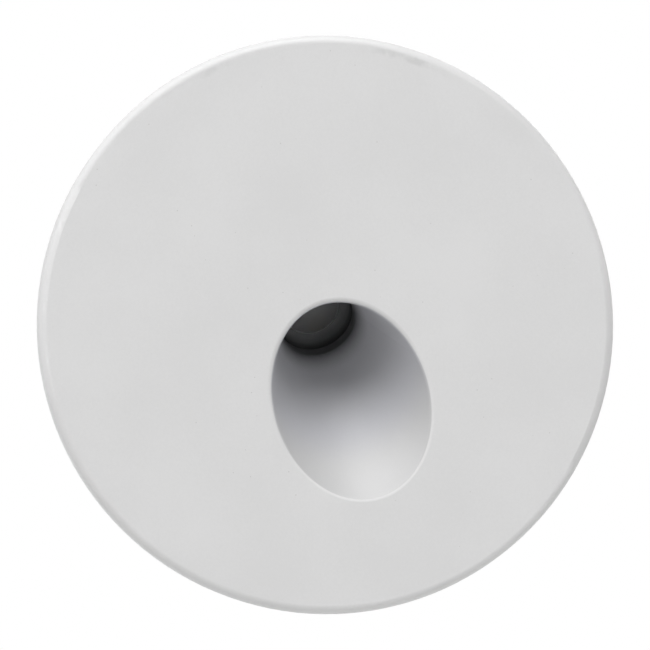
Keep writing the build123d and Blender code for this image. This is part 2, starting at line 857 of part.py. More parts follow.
# Retaining clips. Each is made on the right, and turned about the face's axis for the left
wing_plane = Plane(
    origin=pin_place, x_dir=(sin(clip_flare), -cos(clip_flare), 0), z_dir=(0, 0, 1)
)
bracket_end = clip_pin_depth + knuckle_radius + bracket_margin
bracket_inner_half = bracket_width / 2 - bracket_sheet
wing_half = bracket_inner_half - seat_gap
web_offset = knuckle_radius + wing_sheet / 2

with BuildPart() as clip_bracket:
    with BuildSketch(Plane.YZ.offset(clip_pad_face)):
        with Locations(((bracket_front + bracket_end) / 2, 0)):
            RectangleRounded(bracket_end - bracket_front, bracket_width, bracket_corner)
        with Locations(*[(depth, 0) for depth in bracket_screw_depths]):
            Circle(clear_hole(screw_radius), mode=Mode.SUBTRACT)
    extrude(amount=bracket_sheet)
    for side in (-1, 1):
        with BuildSketch(Plane.XY.offset(side * bracket_inner_half)):
            with Locations((pin_place.X, pin_place.Y)):
                Circle(knuckle_radius)
            with Locations((clip_pad_face, clip_pin_depth)):
                Rectangle(bracket_sheet, 3 * knuckle_radius, align=(Align.MIN, Align.CENTER))
            make_hull()
        extrude(amount=side * bracket_sheet)
    # the stop that the wing's heel rests on
    heel_along = -wing_heel + wing_sheet
    heel = wing_plane.from_local_coords((heel_along, knuckle_radius, 0))
    with BuildSketch(Plane.YZ.offset(clip_pad_face)):
        with Locations((heel.Y - stop_gap, 0)):
            Rectangle(bracket_sheet, stop_width)
    extrude(amount=heel.X - stop_gap - clip_pad_face)
    with Locations(Plane.XY.offset(bracket_width).move(Location((pin_place.X, pin_place.Y, 0)))):
        Hole(pin_radius, depth=2 * bracket_width)

with BuildPart() as clip_pin:
    with BuildSketch(Plane(origin=pin_place - Vector(0, 0, bracket_width / 2))):
        Circle(pin_radius)
    extrude(amount=bracket_width)
    for side in (-1, 1):
        with BuildSketch(Plane(origin=pin_place + Vector(0, 0, side * bracket_width / 2))):
            Circle(pin_head_radius)
        extrude(amount=side * pin_head_height)
    fillet(clip_pin.edges().group_by(Axis.Z)[0], pin_head_height / 2)
    fillet(clip_pin.edges().group_by(Axis.Z)[-1], pin_head_height / 2)

with BuildPart() as clip_wing:
    with BuildSketch(wing_plane):
        with BuildLine():
            strip = Line((-wing_heel, web_offset), (wing_reach, web_offset))
            JernArc(strip @ 1, strip % 1, wing_curl_radius, -wing_curl_turn)
        trace(line_width=wing_sheet)
    extrude(amount=wing_half, both=True)
    for side in (-1, 1):
        with BuildSketch(wing_plane.offset(side * wing_half)):
            Circle(knuckle_radius)
            with Locations((-wing_heel, knuckle_radius)):
                Rectangle(wing_heel + wing_channel, wing_sheet, align=Align.MIN)
            make_hull()
        extrude(amount=-side * wing_ear_sheet)
    with Locations(wing_plane.offset(wing_half)):
        Hole(pin_radius + running_gap, depth=2 * wing_half)

with BuildPart() as clip_sleeve:
    with BuildSketch(wing_plane):
        with BuildLine():
            covered = Line((wing_reach - sleeve_length, web_offset), (wing_reach, web_offset))
            JernArc(covered @ 1, covered % 1, wing_curl_radius, -wing_curl_turn)
        trace(line_width=wing_sheet + 2 * sleeve_wall)
    extrude(amount=wing_half + sleeve_wall, both=True)
    add(clip_wing.part, mode=Mode.SUBTRACT)

# The torsion spring: its short leg bears on the bracket and its long leg on the wing's web
leg_reach = pin_place.X - bracket_face - spring_wire_radius - spring_touch_gap
short_leg_lean = asin((leg_reach - spring_coil_radius) / spring_short_leg)
coil_first = pi - short_leg_lean
coil_sweep = coil_first - clip_flare + 2 * pi * spring_turns
coil_rise = spring_pitch / (2 * pi)


def coil_point(turned):
    """The wire's centre after it has turned that far round the pin, clockwise seen from above."""
    angle = coil_first - turned
    height = coil_rise * (turned - coil_sweep / 2)
    return pin_place + Vector(spring_coil_radius * cos(angle), spring_coil_radius * sin(angle), height)


def coil_direction(turned):
    """The wire's unit direction at that point of the helix."""
    angle = coil_first - turned
    along = Vector(spring_coil_radius * sin(angle), -spring_coil_radius * cos(angle), coil_rise)
    return along.normalized()


def biarc(start, start_direction, end, end_direction):
    """Two tangent arcs from start to end: they meet half way between the points that lie
    the same distance ahead of the start and behind the end, one leg of their corners long."""
    chord = end - start
    both = start_direction + end_direction
    spread = 2 * (1 - start_direction.dot(end_direction))
    along = chord.dot(both)
    leg = (sqrt(along**2 + spread * chord.dot(chord)) - along) / spread
    ahead = start + start_direction * leg
    behind = end - end_direction * leg
    meeting = (ahead + behind) / 2
    TangentArc(start, meeting, tangent=start_direction)
    TangentArc(meeting, end, tangent=behind - ahead)


def least_gap(points, diameter, turn_points):
    """The least gap between the wire and its next turns, measured between points on the coil."""
    return min(
        (a - b).length - diameter
        for i, a in enumerate(points)
        for b in points[i + turn_points // 2 :]
    )


quarter_count = ceil(coil_sweep / (pi / 2))
quarters = [coil_sweep * i / quarter_count for i in range(quarter_count + 1)]
with BuildPart() as clip_spring:
    with BuildLine() as wire_path:
        Line(coil_point(0) - coil_direction(0) * spring_short_leg, coil_point(0))
        for first, last in zip(quarters, quarters[1:]):
            biarc(coil_point(first), coil_direction(first), coil_point(last), coil_direction(last))
        Line(
            coil_point(coil_sweep),
            coil_point(coil_sweep) + coil_direction(coil_sweep) * spring_long_leg,
        )
    with BuildSketch(Plane(origin=wire_path.line @ 0, z_dir=wire_path.line % 0)):
        Circle(spring_wire_radius)
    sweep(path=wire_path.wire())
steps_in_all = round(spring_check_steps * coil_sweep / (2 * pi))
coil_points = [coil_point(coil_sweep * i / steps_in_all) for i in range(steps_in_all + 1)]
coil_gap = least_gap(coil_points, 2 * spring_wire_radius, spring_check_steps)
print(f"least gap between the spring's turns: {coil_gap:.2f} mm")

bracket_screw = small_screw(bracket_sheet + bracket_hole_depth - seat_gap)
with BuildPart() as side_screws:
    with Locations(Plane.YZ.offset(bracket_face)):
        with Locations(*[(depth, 0) for depth in bracket_screw_depths]):
            add(bracket_screw)
with BuildPart() as bracket_screws:
    add(side_screws.part)
    add(side_screws.part.rotate(Axis.Y, 180))
save(bracket_screws.part, "bracket_screws")

clip_pieces = {
    "clip_bracket": clip_bracket.part,
    "clip_pin": clip_pin.part,
    "clip_wing": clip_wing.part,
    "clip_spring": clip_spring.part,
    "clip_sleeve": clip_sleeve.part,
}
for name, piece in clip_pieces.items():
    save(piece, f"{name}_right")
    save(piece.rotate(Axis.Y, 180), f"{name}_left")
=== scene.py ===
import math

import bpy
import numpy as np
from mathutils import Matrix, Vector


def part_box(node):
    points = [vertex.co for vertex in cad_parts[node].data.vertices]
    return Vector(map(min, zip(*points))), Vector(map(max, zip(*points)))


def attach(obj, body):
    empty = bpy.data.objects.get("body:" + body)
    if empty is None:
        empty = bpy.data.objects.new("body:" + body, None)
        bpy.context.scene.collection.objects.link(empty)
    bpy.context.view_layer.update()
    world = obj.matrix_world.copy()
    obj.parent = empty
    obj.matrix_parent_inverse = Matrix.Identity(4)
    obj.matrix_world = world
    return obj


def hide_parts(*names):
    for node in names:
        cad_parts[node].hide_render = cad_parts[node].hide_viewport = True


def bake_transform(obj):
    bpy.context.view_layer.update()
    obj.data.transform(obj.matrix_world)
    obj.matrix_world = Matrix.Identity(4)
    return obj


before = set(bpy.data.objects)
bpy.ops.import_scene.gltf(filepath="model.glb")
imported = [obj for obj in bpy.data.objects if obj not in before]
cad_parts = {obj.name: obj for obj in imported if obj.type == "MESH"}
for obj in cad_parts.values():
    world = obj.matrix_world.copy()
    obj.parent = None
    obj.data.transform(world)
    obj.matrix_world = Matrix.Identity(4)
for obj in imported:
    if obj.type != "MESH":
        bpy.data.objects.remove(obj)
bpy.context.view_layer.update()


# Camera. The photograph was taken almost square on, from a little to the light's left, with the
# light turned in the picture so that its well's low end points to the lower right.
view_turn = math.radians(7.0)
view_roll = math.radians(16.5)
view_distance = 0.55
view_width = 0.0896
view_shift = 0.00056
face_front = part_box("faceplate")[0].y

level_right = Vector((math.cos(view_turn), -math.sin(view_turn), 0))
picture_right = math.cos(view_roll) * level_right - math.sin(view_roll) * Vector((0, 0, 1))
picture_up = math.sin(view_roll) * level_right + math.cos(view_roll) * Vector((0, 0, 1))
picture_back = picture_right.cross(picture_up)
picture_centre = Vector((0, face_front, 0)) - view_shift * level_right


def picture_place(right, up, back):
    """A point given by how far it lies from the picture's centre: right, up, towards the camera."""
    return picture_centre + right * picture_right + up * picture_up + back * picture_back


def aim(thing, place):
    """Stands a lamp or camera at the place, looking at the picture's centre, level with it."""
    back = (place - picture_centre).normalized()
    right = picture_up.cross(back).normalized()
    turned = Matrix((right, back.cross(right), back)).transposed().to_4x4()
    thing.matrix_world = Matrix.Translation(place) @ turned
    bpy.context.scene.collection.objects.link(thing)


camera = bpy.data.objects.new("camera", bpy.data.cameras.new("camera"))
camera.data.lens = camera.data.sensor_width * view_distance / view_width
camera.data.clip_end = 20
aim(camera, picture_place(0, 0, view_distance))
bpy.context.scene.camera = camera
bpy.context.scene.view_settings.view_transform = "Standard"


# Studio. Soft square lamps: the strongest above, one at the upper left, and three weaker ones that
# stand behind the face, two beside the light and one for its body. The floor throws their light
# back up. Whatever looks past sees white.
lamp_size = 1.5
lamp_distance = 2.0
sky_strength = 0.15


def lamp(name, right, up, power, behind=False):
    """A lamp that far from the picture's centre, in the direction whose parts to the right and up
    are given. The rest of its way leads towards the camera, or behind the light."""
    back = math.sqrt(1 - right * right - up * up) * (-1 if behind else 1)
    light = bpy.data.lights.new(name, "AREA")
    light.size = lamp_size
    light.energy = power
    place = picture_place(lamp_distance * right, lamp_distance * up, lamp_distance * back)
    aim(bpy.data.objects.new(name, light), place)


lamp("top_lamp", 0.0, 0.906, 34)
lamp("upper_left_lamp", -0.616, 0.669, 18.5)
lamp("left_lamp", -0.985, -0.05, 5.0, behind=True)
lamp("right_lamp", 0.98, -0.12, 5.5, behind=True)
lamp("rear_lamp", 0.3, 0.2, 10, behind=True)


class Socket:
    """An output of a shader node. Arithmetic on it adds Math nodes."""

    def __init__(self, nodes, output):
        self.nodes = nodes
        self.output = output

    def math(self, operation, *values):
        return self.nodes.add("ShaderNodeMath", {"operation": operation}, dict(enumerate(values)))

    def __add__(self, other):
        return self.math("ADD", self, other)

    def __radd__(self, other):
        return self.math("ADD", other, self)

    def __sub__(self, other):
        return self.math("SUBTRACT", self, other)

    def __rsub__(self, other):
        return self.math("SUBTRACT", other, self)

    def __mul__(self, other):
        return self.math("MULTIPLY", self, other)

    def __rmul__(self, other):
        return self.math("MULTIPLY", other, self)

    def __truediv__(self, other):
        return self.math("DIVIDE", self, other)

    def __pow__(self, other):
        return self.math("POWER", self, other)

    def __abs__(self):
        return self.math("ABSOLUTE", self)

    def wave(self, pitch):
        """A sine of this value, from -1 to 1, that repeats every pitch."""
        return self.math("SINE", self * (2 * math.pi / pitch))


class Nodes:
    """The shader nodes of the sky or of a material."""

    def __init__(self, owner):
        owner.use_nodes = True
        self.tree = owner.node_tree
        self.tree.nodes.clear()

    def add(self, kind, settings=(), inputs=(), output=0):
        """Adds one node: its settings first, then the values or links of its sockets. Gives the
        output that is asked for, unless the node has none."""
        node = self.tree.nodes.new(kind)
        for name, setting in dict(settings).items():
            setattr(node, name, setting)
        for name, value in dict(inputs).items():
            if isinstance(value, Socket):
                self.tree.links.new(value.output, node.inputs[name])
            else:
                node.inputs[name].default_value = value
        return Socket(self, node.outputs[output]) if node.outputs else None

    def rays(self):
        """Three sockets, each 1 for its own kind of ray and else 0: what the camera sees
        directly, what is seen in a mirror, and what is seen through glass."""
        looks = ("Is Camera Ray", "Is Glossy Ray", "Is Transmission Ray")
        return [self.add("ShaderNodeLightPath", output=look) for look in looks]


bpy.context.scene.world = bpy.data.worlds.new("sky")
sky = Nodes(bpy.context.scene.world)
direct, mirrored, refracted = sky.rays()
seen = direct.math("MAXIMUM", direct, mirrored.math("MAXIMUM", mirrored, refracted))
strength = sky.add("ShaderNodeMapRange", {}, {"Value": seen, "To Min": sky_strength})
white = sky.add("ShaderNodeBackground", {}, {"Color": (1, 1, 1, 1), "Strength": strength})
sky.add("ShaderNodeOutputWorld", {}, {"Surface": white})


# Floor. A plain pale sheet a little below the light. It keeps the light's soft shadow near it and
# fades to white further out, and mirrors and glass see it in the same way.
class Finish(Nodes):
    """A material while it is being made."""

    def __init__(self, name):
        self.material = bpy.data.materials.new(name)
        super().__init__(self.material)
        self.place = self.add("ShaderNodeTexCoord", output="Object")

    def axes(self):
        """The piece's own coordinates in metres: X, Y and Z."""
        return [self.add("ShaderNodeSeparateXYZ", {}, {0: self.place}, name) for name in "XYZ"]

    def scaled(self, size, stretch=(1, 1, 1), turn=(0, 0, 0)):
        """The piece's place in steps of that size, in metres, times the stretch of each axis."""
        scale = tuple(1 / (size * part) for part in stretch)
        turned = self.place
        if any(turn):
            turned = self.add("ShaderNodeMapping", {}, {"Vector": self.place, "Rotation": turn})
        return self.add("ShaderNodeMapping", {}, {"Vector": turned, "Scale": scale})

    def noise(self, size, detail=2.0, stretch=(1, 1, 1), turn=(0, 0, 0)):
        """Noise from 0 to 1 whose blotches are about that size."""
        place = self.scaled(size, stretch, turn)
        return self.add("ShaderNodeTexNoise", {}, {"Vector": place, "Scale": 1.0, "Detail": detail})

    def cells(self, size):
        """The distance, in steps of that size, to the nearest of points strewn through space."""
        return self.add("ShaderNodeTexVoronoi", {}, {"Vector": self.scaled(size), "Scale": 1.0})

    def step(self, value, low, high, shape="SMOOTHSTEP"):
        """0 below low, 1 above high and a step between them; low may be the larger one."""
        return self.add(
            "ShaderNodeMapRange",
            {"interpolation_type": shape},
            {"Value": value, "From Min": low, "From Max": high},
        )

    def blend(self, factor, first, second):
        """The first colour where the factor is 0 and the second where it is 1."""
        colours = {0: factor, 6: first, 7: second}
        return self.add("ShaderNodeMix", {"data_type": "RGBA"}, colours, 2)

    def bump(self, height, depth):
        """A normal from that height, where a height of 1 stands out by the depth, in metres."""
        return self.add("ShaderNodeBump", {}, {"Height": height, "Distance": depth})

    def surface(self, **values):
        """Finishes the material with those values of the surface, and returns it."""
        named = {}
        for name, value in values.items():
            named[name.replace("_", " ").title().replace("Ior", "IOR")] = value
        self.output(self.add("ShaderNodeBsdfPrincipled", {}, named))
        return self.material

    def output(self, shader):
        """Sends that shader to the material's output."""
        self.add("ShaderNodeOutputMaterial", {}, {"Surface": shader})


def skin(name, rows, closed=False, crease=35):
    """A closed mesh over a grid of points, rows x columns x 3. Every row is a ring. The rows close
    to a ring too, or each end row is drawn to the point in its middle. Edges sharper than the
    crease angle stay sharp. The signed volume tells which way round the faces go."""
    count, around = rows.shape[:2]
    points = rows.reshape(-1, 3)
    first = np.arange(count if closed else count - 1)[:, None] * around
    after = (first + around) % (count * around)
    here = np.arange(around)[None, :]
    onward = (here + 1) % around
    sides = [first + here, first + onward, after + onward, after + here]
    faces = np.stack(sides, -1).reshape(-1, 4)
    if not closed:
        points = np.vstack([points, rows[0].mean(0), rows[-1].mean(0)])
        start, end = count * around, count * around + 1
        last = (count - 1) * around
        here, onward = here[0], onward[0]
        near = np.stack([np.full(around, start), onward, here, here], -1)
        far = np.stack([np.full(around, end), last + here, last + onward, last + onward], -1)
        faces = np.vstack([faces, near, far])
    corners = points[faces]
    cross = np.cross(corners[:, 2] - corners[:, 0], corners[:, 3] - corners[:, 1])
    if (corners.mean(1) * cross).sum() < 0:
        faces = faces[:, ::-1]
    clean = [list(dict.fromkeys(face)) for face in faces.tolist()]
    mesh = bpy.data.meshes.new(name)
    mesh.from_pydata(points.tolist(), [], clean)
    mesh.polygons.foreach_set("use_smooth", np.ones(len(clean), bool))
    mesh.set_sharp_from_angle(angle=math.radians(crease))
    piece = bpy.data.objects.new(name, mesh)
    bpy.context.scene.collection.objects.link(piece)
    return piece


floor_height = -0.12
floor_thickness = 0.004
floor_edge = 3.0
fade_start = 0.14
fade_end = 0.42

steps = np.array([[0.001, 0], [floor_edge, 0], [floor_edge, -1], [0.001, -1]])
turn = np.linspace(0, 2 * np.pi, 96, endpoint=False)
floor = skin(
    "floor",
    np.stack(
        [
            steps[:, :1] * np.cos(turn),
            steps[:, :1] * np.sin(turn),
            floor_height + floor_thickness * steps[:, 1:] * np.ones(turn.size),
        ],
        -1,
    ),
)
sheet = Finish("floor_sheet")
x, y = sheet.axes()[:2]
far = sheet.step((x**2 + y**2) ** 0.5, fade_start, fade_end)
direct, mirrored, refracted = sheet.rays()
looked_at = sheet.step(direct + mirrored + refracted, 0.0, 1.0, "LINEAR")
sheet_colour = sheet.blend(sheet.noise(0.03, 4.0), (0.79, 0.79, 0.785, 1), (0.81, 0.81, 0.805, 1))
paper = sheet.add("ShaderNodeBsdfDiffuse", {}, {"Color": sheet_colour})
glow = sheet.add("ShaderNodeEmission", {}, {"Color": (1, 1, 1, 1), "Strength": 1.0})
sheet.output(sheet.add("ShaderNodeMixShader", {}, {0: far * looked_at, 1: paper, 2: glow}))
floor.data.materials.append(sheet.material)


# Faceplate: an aluminium casting under a satin powder coat of a pale grey, with fine orange peel,
# a few specks and a dull rub inside the rim. Painted shade makes the well darker and cooler,
# darkening towards the matt black socket at its end. The back is bare metal.
well_tilt = math.radians(35.7)
well_taper = math.radians(19.7)
well_drop = 0.0077
well_mouth_radius = 0.01045
well_length = 0.0142
socket_radius = 0.0080
outlet_shade_start = 0.0110
rub_radius = 0.0384
rub_start = math.radians(22)
rub_full = math.radians(30)
rub_thins = math.radians(36)
rub_end = math.radians(45)
second_rub = math.radians(8)
bare_start = -0.0042
bare_radius = 0.0391
dust_start = 0.0385


def along_well(finish):
    """A place's distance along the well's axis, its distance from the axis, and how far it lies
    to the side of the axis and up the slope."""
    x, y, z = finish.axes()
    forward, above = y - face_front, z + well_drop
    deep = forward * math.cos(well_tilt) + above * math.sin(well_tilt)
    rise = above * math.cos(well_tilt) - forward * math.sin(well_tilt)
    return deep, (x**2 + rise**2) ** 0.5, x, rise


def paint(material, *nodes):
    """Gives that material to those CAD nodes."""
    for node in nodes:
        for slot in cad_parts[node].material_slots:
            slot.material = material


coat = Finish("powder_coat")
x, y, z = coat.axes()
deep, off_axis, _, rise = along_well(coat)
from_middle = (x**2 + z**2) ** 0.5
clockwise = x.math("ARCTAN2", x, z)

mottle = coat.noise(0.014, 3.0)
peel = coat.noise(0.0011, 2.0)
grain = coat.noise(0.00035, 1.0)
shade = coat.step(mottle * 0.7 + grain * 0.3, 0.3, 0.7)
colour = coat.blend(shade, (0.656, 0.655, 0.657, 1), (0.685, 0.684, 0.686, 1))

specks = coat.step(coat.cells(0.0026), 0.042, 0.020)
colour = coat.blend(specks * 0.35, colour, (0.25, 0.24, 0.23, 1))

rub_band = coat.step(abs(from_middle - rub_radius), 0.0007, 0.0002)
rub_right = coat.step(clockwise, rub_start, rub_full) * coat.step(clockwise, rub_end, rub_thins)
rub_left = coat.step(abs(clockwise + second_rub), math.radians(5), math.radians(1)) * 0.6
rub = rub_band * (rub_right + rub_left) * coat.step(coat.noise(0.0022, 3.0), 0.38, 0.62)
colour = coat.blend(rub * 0.30, colour, (0.42, 0.42, 0.42, 1))

cone_radius = well_mouth_radius - deep * math.tan(well_taper)
lip = 0.00016 + 0.00030 * coat.step(rise, -0.004, 0.008)
near_cone = coat.step(off_axis - cone_radius, 0.0009, 0.0005)
in_well = near_cone * coat.step((y - face_front) / lip, 0.3, 1.0)
# Painted shade: the well gets a darker colour than the face, from within the lip's depth of the
# face, turning bluer further in.
deeper_shade_tint = coat.step(deep, -0.005, 0.002)
well_shade_colour = coat.blend(deeper_shade_tint, (0.490, 0.489, 0.491, 1), (0.472, 0.474, 0.500, 1))
colour = coat.blend(in_well, colour, coat.blend(shade * 0.06, well_shade_colour, (0.70, 0.70, 0.70, 1)))
# Painted shade: the well's wall darkens to near black over its last few millimetres before the
# socket.
outlet_shade = coat.step(deep, outlet_shade_start, well_length, "LINEAR") ** 1.5 * 0.90
outlet_shade = outlet_shade * (0.9 + 0.2 * coat.noise(0.0005, 3.0)) * in_well
colour = coat.blend(outlet_shade, colour, (0.055, 0.055, 0.058, 1))
in_socket = coat.step(deep, well_length - 0.0001, well_length)
in_socket = in_socket * coat.step(off_axis, socket_radius + 0.0003, socket_radius)
colour = coat.blend(in_socket, colour, (0.060, 0.060, 0.062, 1))

behind = coat.step(y, bare_start, bare_start + 0.0004)
behind = behind * coat.step(from_middle, bare_radius + 0.0003, bare_radius)
dust_edge = from_middle + 0.002 * coat.noise(0.0016, 3.0)
dust = coat.step(dust_edge, dust_start, dust_start + 0.0015)
bare = behind * (1 - in_well) * (1 - in_socket) * (1 - dust)
cast = coat.blend(coat.noise(0.004, 4.0), (0.36, 0.36, 0.365, 1), (0.47, 0.47, 0.475, 1))
colour = coat.blend(bare, colour, cast)
relief = peel * (1 - bare) + coat.noise(0.0004, 2.0) * bare * 2.5 + grain * 0.2
paint(
    coat.surface(
        base_color=colour,
        metallic=bare * 0.95,
        roughness=0.42 + 0.08 * mottle + 0.12 * rub + 0.05 * bare,
        normal=coat.bump(relief, 0.000010),
    ),
    "faceplate",
)


# Face gasket: a ring die-cut from black closed-cell foam. Its skin is full of small pores, and its
# edges are a little rounded where the knife pressed them down.
gasket_low, gasket_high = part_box("face_gasket")
gasket_outer = gasket_high.x
gasket_inner = 0.0333
gasket_power = 7
gasket_wave = 0.00002
gasket_dent = 0.00001
gasket_section = 56
gasket_steps = 360


def square_reach(turn, power):
    """How far the curve |u|^power + |v|^power = 1 lies from its middle, in each direction."""
    return (np.abs(np.cos(turn)) ** power + np.abs(np.sin(turn)) ** power) ** (-1 / power)


def foam_ring():
    """Round the face's axis runs a section that is nearly a rectangle, |u|^7 + |v|^7 = 1, whose
    height and width shrink by a small sum of waves of the ring's angle."""
    angle = np.linspace(0, 2 * np.pi, gasket_steps, endpoint=False)[:, None]
    turn = np.linspace(0, 2 * np.pi, gasket_section, endpoint=False)[None, :]
    reach = square_reach(turn, gasket_power)
    wave = np.sin(11 * angle) + np.sin(17 * angle + 1.3) + np.sin(29 * angle + 4.0)
    half_width = (gasket_outer - gasket_inner) / 2 - gasket_wave * (wave + 3)
    half_height = (gasket_high.y - gasket_low.y) / 2 - gasket_dent * (np.sin(7 * angle) + 1)
    radius = (gasket_outer + gasket_inner) / 2 + half_width * reach * np.cos(turn)
    depth = (gasket_high.y + gasket_low.y) / 2 + half_height * reach * np.sin(turn)
    return np.stack([radius * np.cos(angle), depth, radius * np.sin(angle)], -1)


foam = Finish("closed_cell_foam")
pores = foam.step(foam.cells(0.00055), 0.10, 0.42)
large_pores = foam.step(foam.cells(0.0014), 0.08, 0.22)
foam_height = pores * 0.6 + large_pores * 0.4
foam_shade = foam_height * (0.7 + 0.3 * foam.noise(0.006, 3.0))
foam_skin = foam.surface(
    base_color=foam.blend(foam_shade, (0.008, 0.008, 0.009, 1), (0.040, 0.040, 0.043, 1)),
    roughness=0.92 - 0.1 * pores,
    normal=foam.bump(foam_height, 0.00012),
)
gasket = skin("foam_gasket", foam_ring(), closed=True)
gasket.data.materials.append(foam_skin)
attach(gasket, "root")
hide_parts("face_gasket")


# Well seal and housing seal: moulded silicone rings, dark grey, pressed in when the light is put
# together. They have a fine dusty bloom.
silicone = Finish("silicone_rubber")
bloom = silicone.noise(0.0025, 4.0)
dusty = silicone.step(bloom, 0.35, 0.75)
paint(
    silicone.surface(
        base_color=silicone.blend(dusty, (0.075, 0.075, 0.077, 1), (0.120, 0.120, 0.122, 1)),
        roughness=0.62 + 0.2 * bloom,
        normal=silicone.bump(silicone.noise(0.00018, 2.0), 0.000012),
    ),
    "well_seal",
    "housing_gasket",
)


# Window glass: a disc of clear toughened glass with a ground edge. It lies on the well seal and
# closes the well's end against water. Faint wipe marks have stayed on it.
glass_radius = 0.00785
glass_edge = 0.00015

glass = Finish("window_glass")
off_axis = along_well(glass)[1]
ground = glass.step(off_axis, glass_radius - glass_edge, glass_radius)
wipe = glass.noise(0.004, 3.0, (1, 0.15, 1), (0.6, 0.3, 0.9))
paint(
    glass.surface(
        base_color=glass.blend(ground, (0.985, 0.995, 0.990, 1), (0.80, 0.88, 0.84, 1)),
        roughness=0.015 + 0.03 * glass.step(wipe, 0.5, 0.8) + 0.45 * ground,
        transmission_weight=1.0,
        ior=1.48,
        normal=glass.bump(glass.noise(0.00025, 2.0) * ground, 0.00002),
    ),
    "window_glass",
)


# Lens holder: moulded from matt black polycarbonate with a spark-eroded texture. Its front rim,
# the baffle round the lens, is what the photograph shows as the dark ring in the outlet.
holder = Finish("holder_moulding")
erosion = holder.noise(0.00022, 3.0)
flow = holder.noise(0.003, 3.0)
shade = erosion * 0.6 + flow * 0.4
paint(
    holder.surface(
        base_color=holder.blend(shade, (0.022, 0.022, 0.023, 1), (0.044, 0.044, 0.046, 1)),
        roughness=0.55 + 0.2 * flow,
        normal=holder.bump(erosion, 0.00002),
    ),
    "lens_holder",
)


# Collimating lens: moulded acrylic, smoky and finely frosted so that the light stays dark when it
# is off. The frosting is a little uneven and the flange has a dull gate mark.
gate_side = 0.0050
gate_radius = 0.0008

acrylic = Finish("frosted_acrylic")
side, rise = along_well(acrylic)[2:]
frosting = acrylic.noise(0.0012, 2.0)
from_gate = ((side - gate_side) ** 2 + rise**2) ** 0.5
gate = acrylic.step(from_gate, gate_radius + 0.0004, gate_radius)
smoke = acrylic.noise(0.003, 3.0)
paint(
    acrylic.surface(
        base_color=acrylic.blend(smoke, (0.40, 0.40, 0.41, 1), (0.46, 0.46, 0.47, 1)),
        roughness=0.30 + 0.02 * frosting + 0.3 * gate,
        transmission_weight=1.0,
        ior=1.49,
        normal=acrylic.bump(frosting, 0.000004),
    ),
    "tir_lens",
)


# LED: a white ceramic carrier with a phosphor-filled silicone dome moulded on it, and gilded edges
# underneath, where it is soldered to its board.
dome_radius = 0.00120
carrier_front = 0.02532
carrier_back = 0.02585

led = Finish("led_package")
deep, off_axis = along_well(led)[:2]
phosphor = led.step(off_axis, dome_radius + 0.00008, dome_radius)
phosphor = phosphor * led.step(deep, carrier_front, carrier_front - 0.00005)
gilded = led.step(deep, carrier_back, carrier_back + 0.00005)
ceramic = led.blend(led.noise(0.0002, 3.0), (0.74, 0.74, 0.72, 1), (0.82, 0.82, 0.80, 1))
amber = led.blend(led.noise(0.00012, 3.0), (0.72, 0.44, 0.04, 1), (0.83, 0.58, 0.10, 1))
paint(
    led.surface(
        base_color=led.blend(gilded, led.blend(phosphor, ceramic, amber), (0.80, 0.58, 0.25, 1)),
        metallic=gilded,
        roughness=0.55 - 0.35 * phosphor - 0.2 * gilded,
        coat_weight=phosphor,
        normal=led.bump(led.noise(0.00010, 2.0), 0.000004),
    ),
    "led_emitter",
)


# LED board: an aluminium core under a white solder mask, with copper tracks that show through it
# as faint ridges, and two tinned pads for the leads on its tab.
mask_front = 0.02604
pad_side = 0.003
pad_drop = 0.0105
pad_radius = 0.00115
track_half = 0.00055
track_top = -0.0015
spread_radius = 0.0060
spread_gap = 0.0002

board = Finish("led_board")
deep, off_axis, side, rise = along_well(board)
front = board.step(deep, mask_front, mask_front - 0.00003)
beside_pad = abs(side) - pad_side
from_pad = (beside_pad**2 + (rise + pad_drop) ** 2) ** 0.5
pad_reach = board.step(from_pad, pad_radius + 0.0001, pad_radius)
track_run = board.step(abs(beside_pad), track_half + 0.0001, track_half)
track_run = track_run * board.step(rise, track_top, track_top - 0.0005)
spread = board.step(off_axis, spread_radius + 0.0002, spread_radius)
spread = spread * board.step(abs(side), spread_gap, spread_gap + 0.0001)
copper = board.step(track_run + spread, 0.2, 0.8)
mask_colour = board.blend(copper, (0.74, 0.74, 0.72, 1), (0.70, 0.69, 0.66, 1))
solder = board.blend(board.noise(0.0004, 3.0), (0.62, 0.62, 0.63, 1), (0.78, 0.78, 0.79, 1))
sawn = board.noise(0.0012, 4.0, (1, 1, 0.1))
core = board.blend(sawn, (0.55, 0.55, 0.56, 1), (0.66, 0.66, 0.67, 1))
board_colour = board.blend(front, core, board.blend(pad_reach, mask_colour, solder))
paint(
    board.surface(
        base_color=board_colour,
        metallic=1 - front * (1 - pad_reach),
        roughness=0.35 + 0.1 * board.noise(0.002, 3.0),
        normal=board.bump(copper * 0.5 + pad_reach * 0.5 + 0.05 * board.noise(0.0003), 0.00003),
    ),
    "led_board",
)


# Thermal pad: soft grey silicone over a glass cloth whose weave shows through. It is clamped
# between the LED board and the heat sink.
pad_thread = 0.0008

pad = Finish("thermal_pad")
side, rise = along_well(pad)[2:]
weave = 0.5 + 0.5 * side.wave(pad_thread) * rise.wave(pad_thread)
shade = weave * 0.6 + 0.4 * pad.noise(0.001, 3.0)
paint(
    pad.surface(
        base_color=pad.blend(shade, (0.24, 0.26, 0.28, 1), (0.34, 0.36, 0.38, 1)),
        roughness=0.75 + 0.1 * weave,
        normal=pad.bump(weave, 0.00003),
    ),
    "thermal_pad",
)


# Heat sink: an aluminium extrusion, sawn off and turned down to fit the round cup. The die's lines
# run along its fins and the lathe's fine rings round its outside.
sink_turned_radius = 0.0217
sink_tool_feed = 0.00022

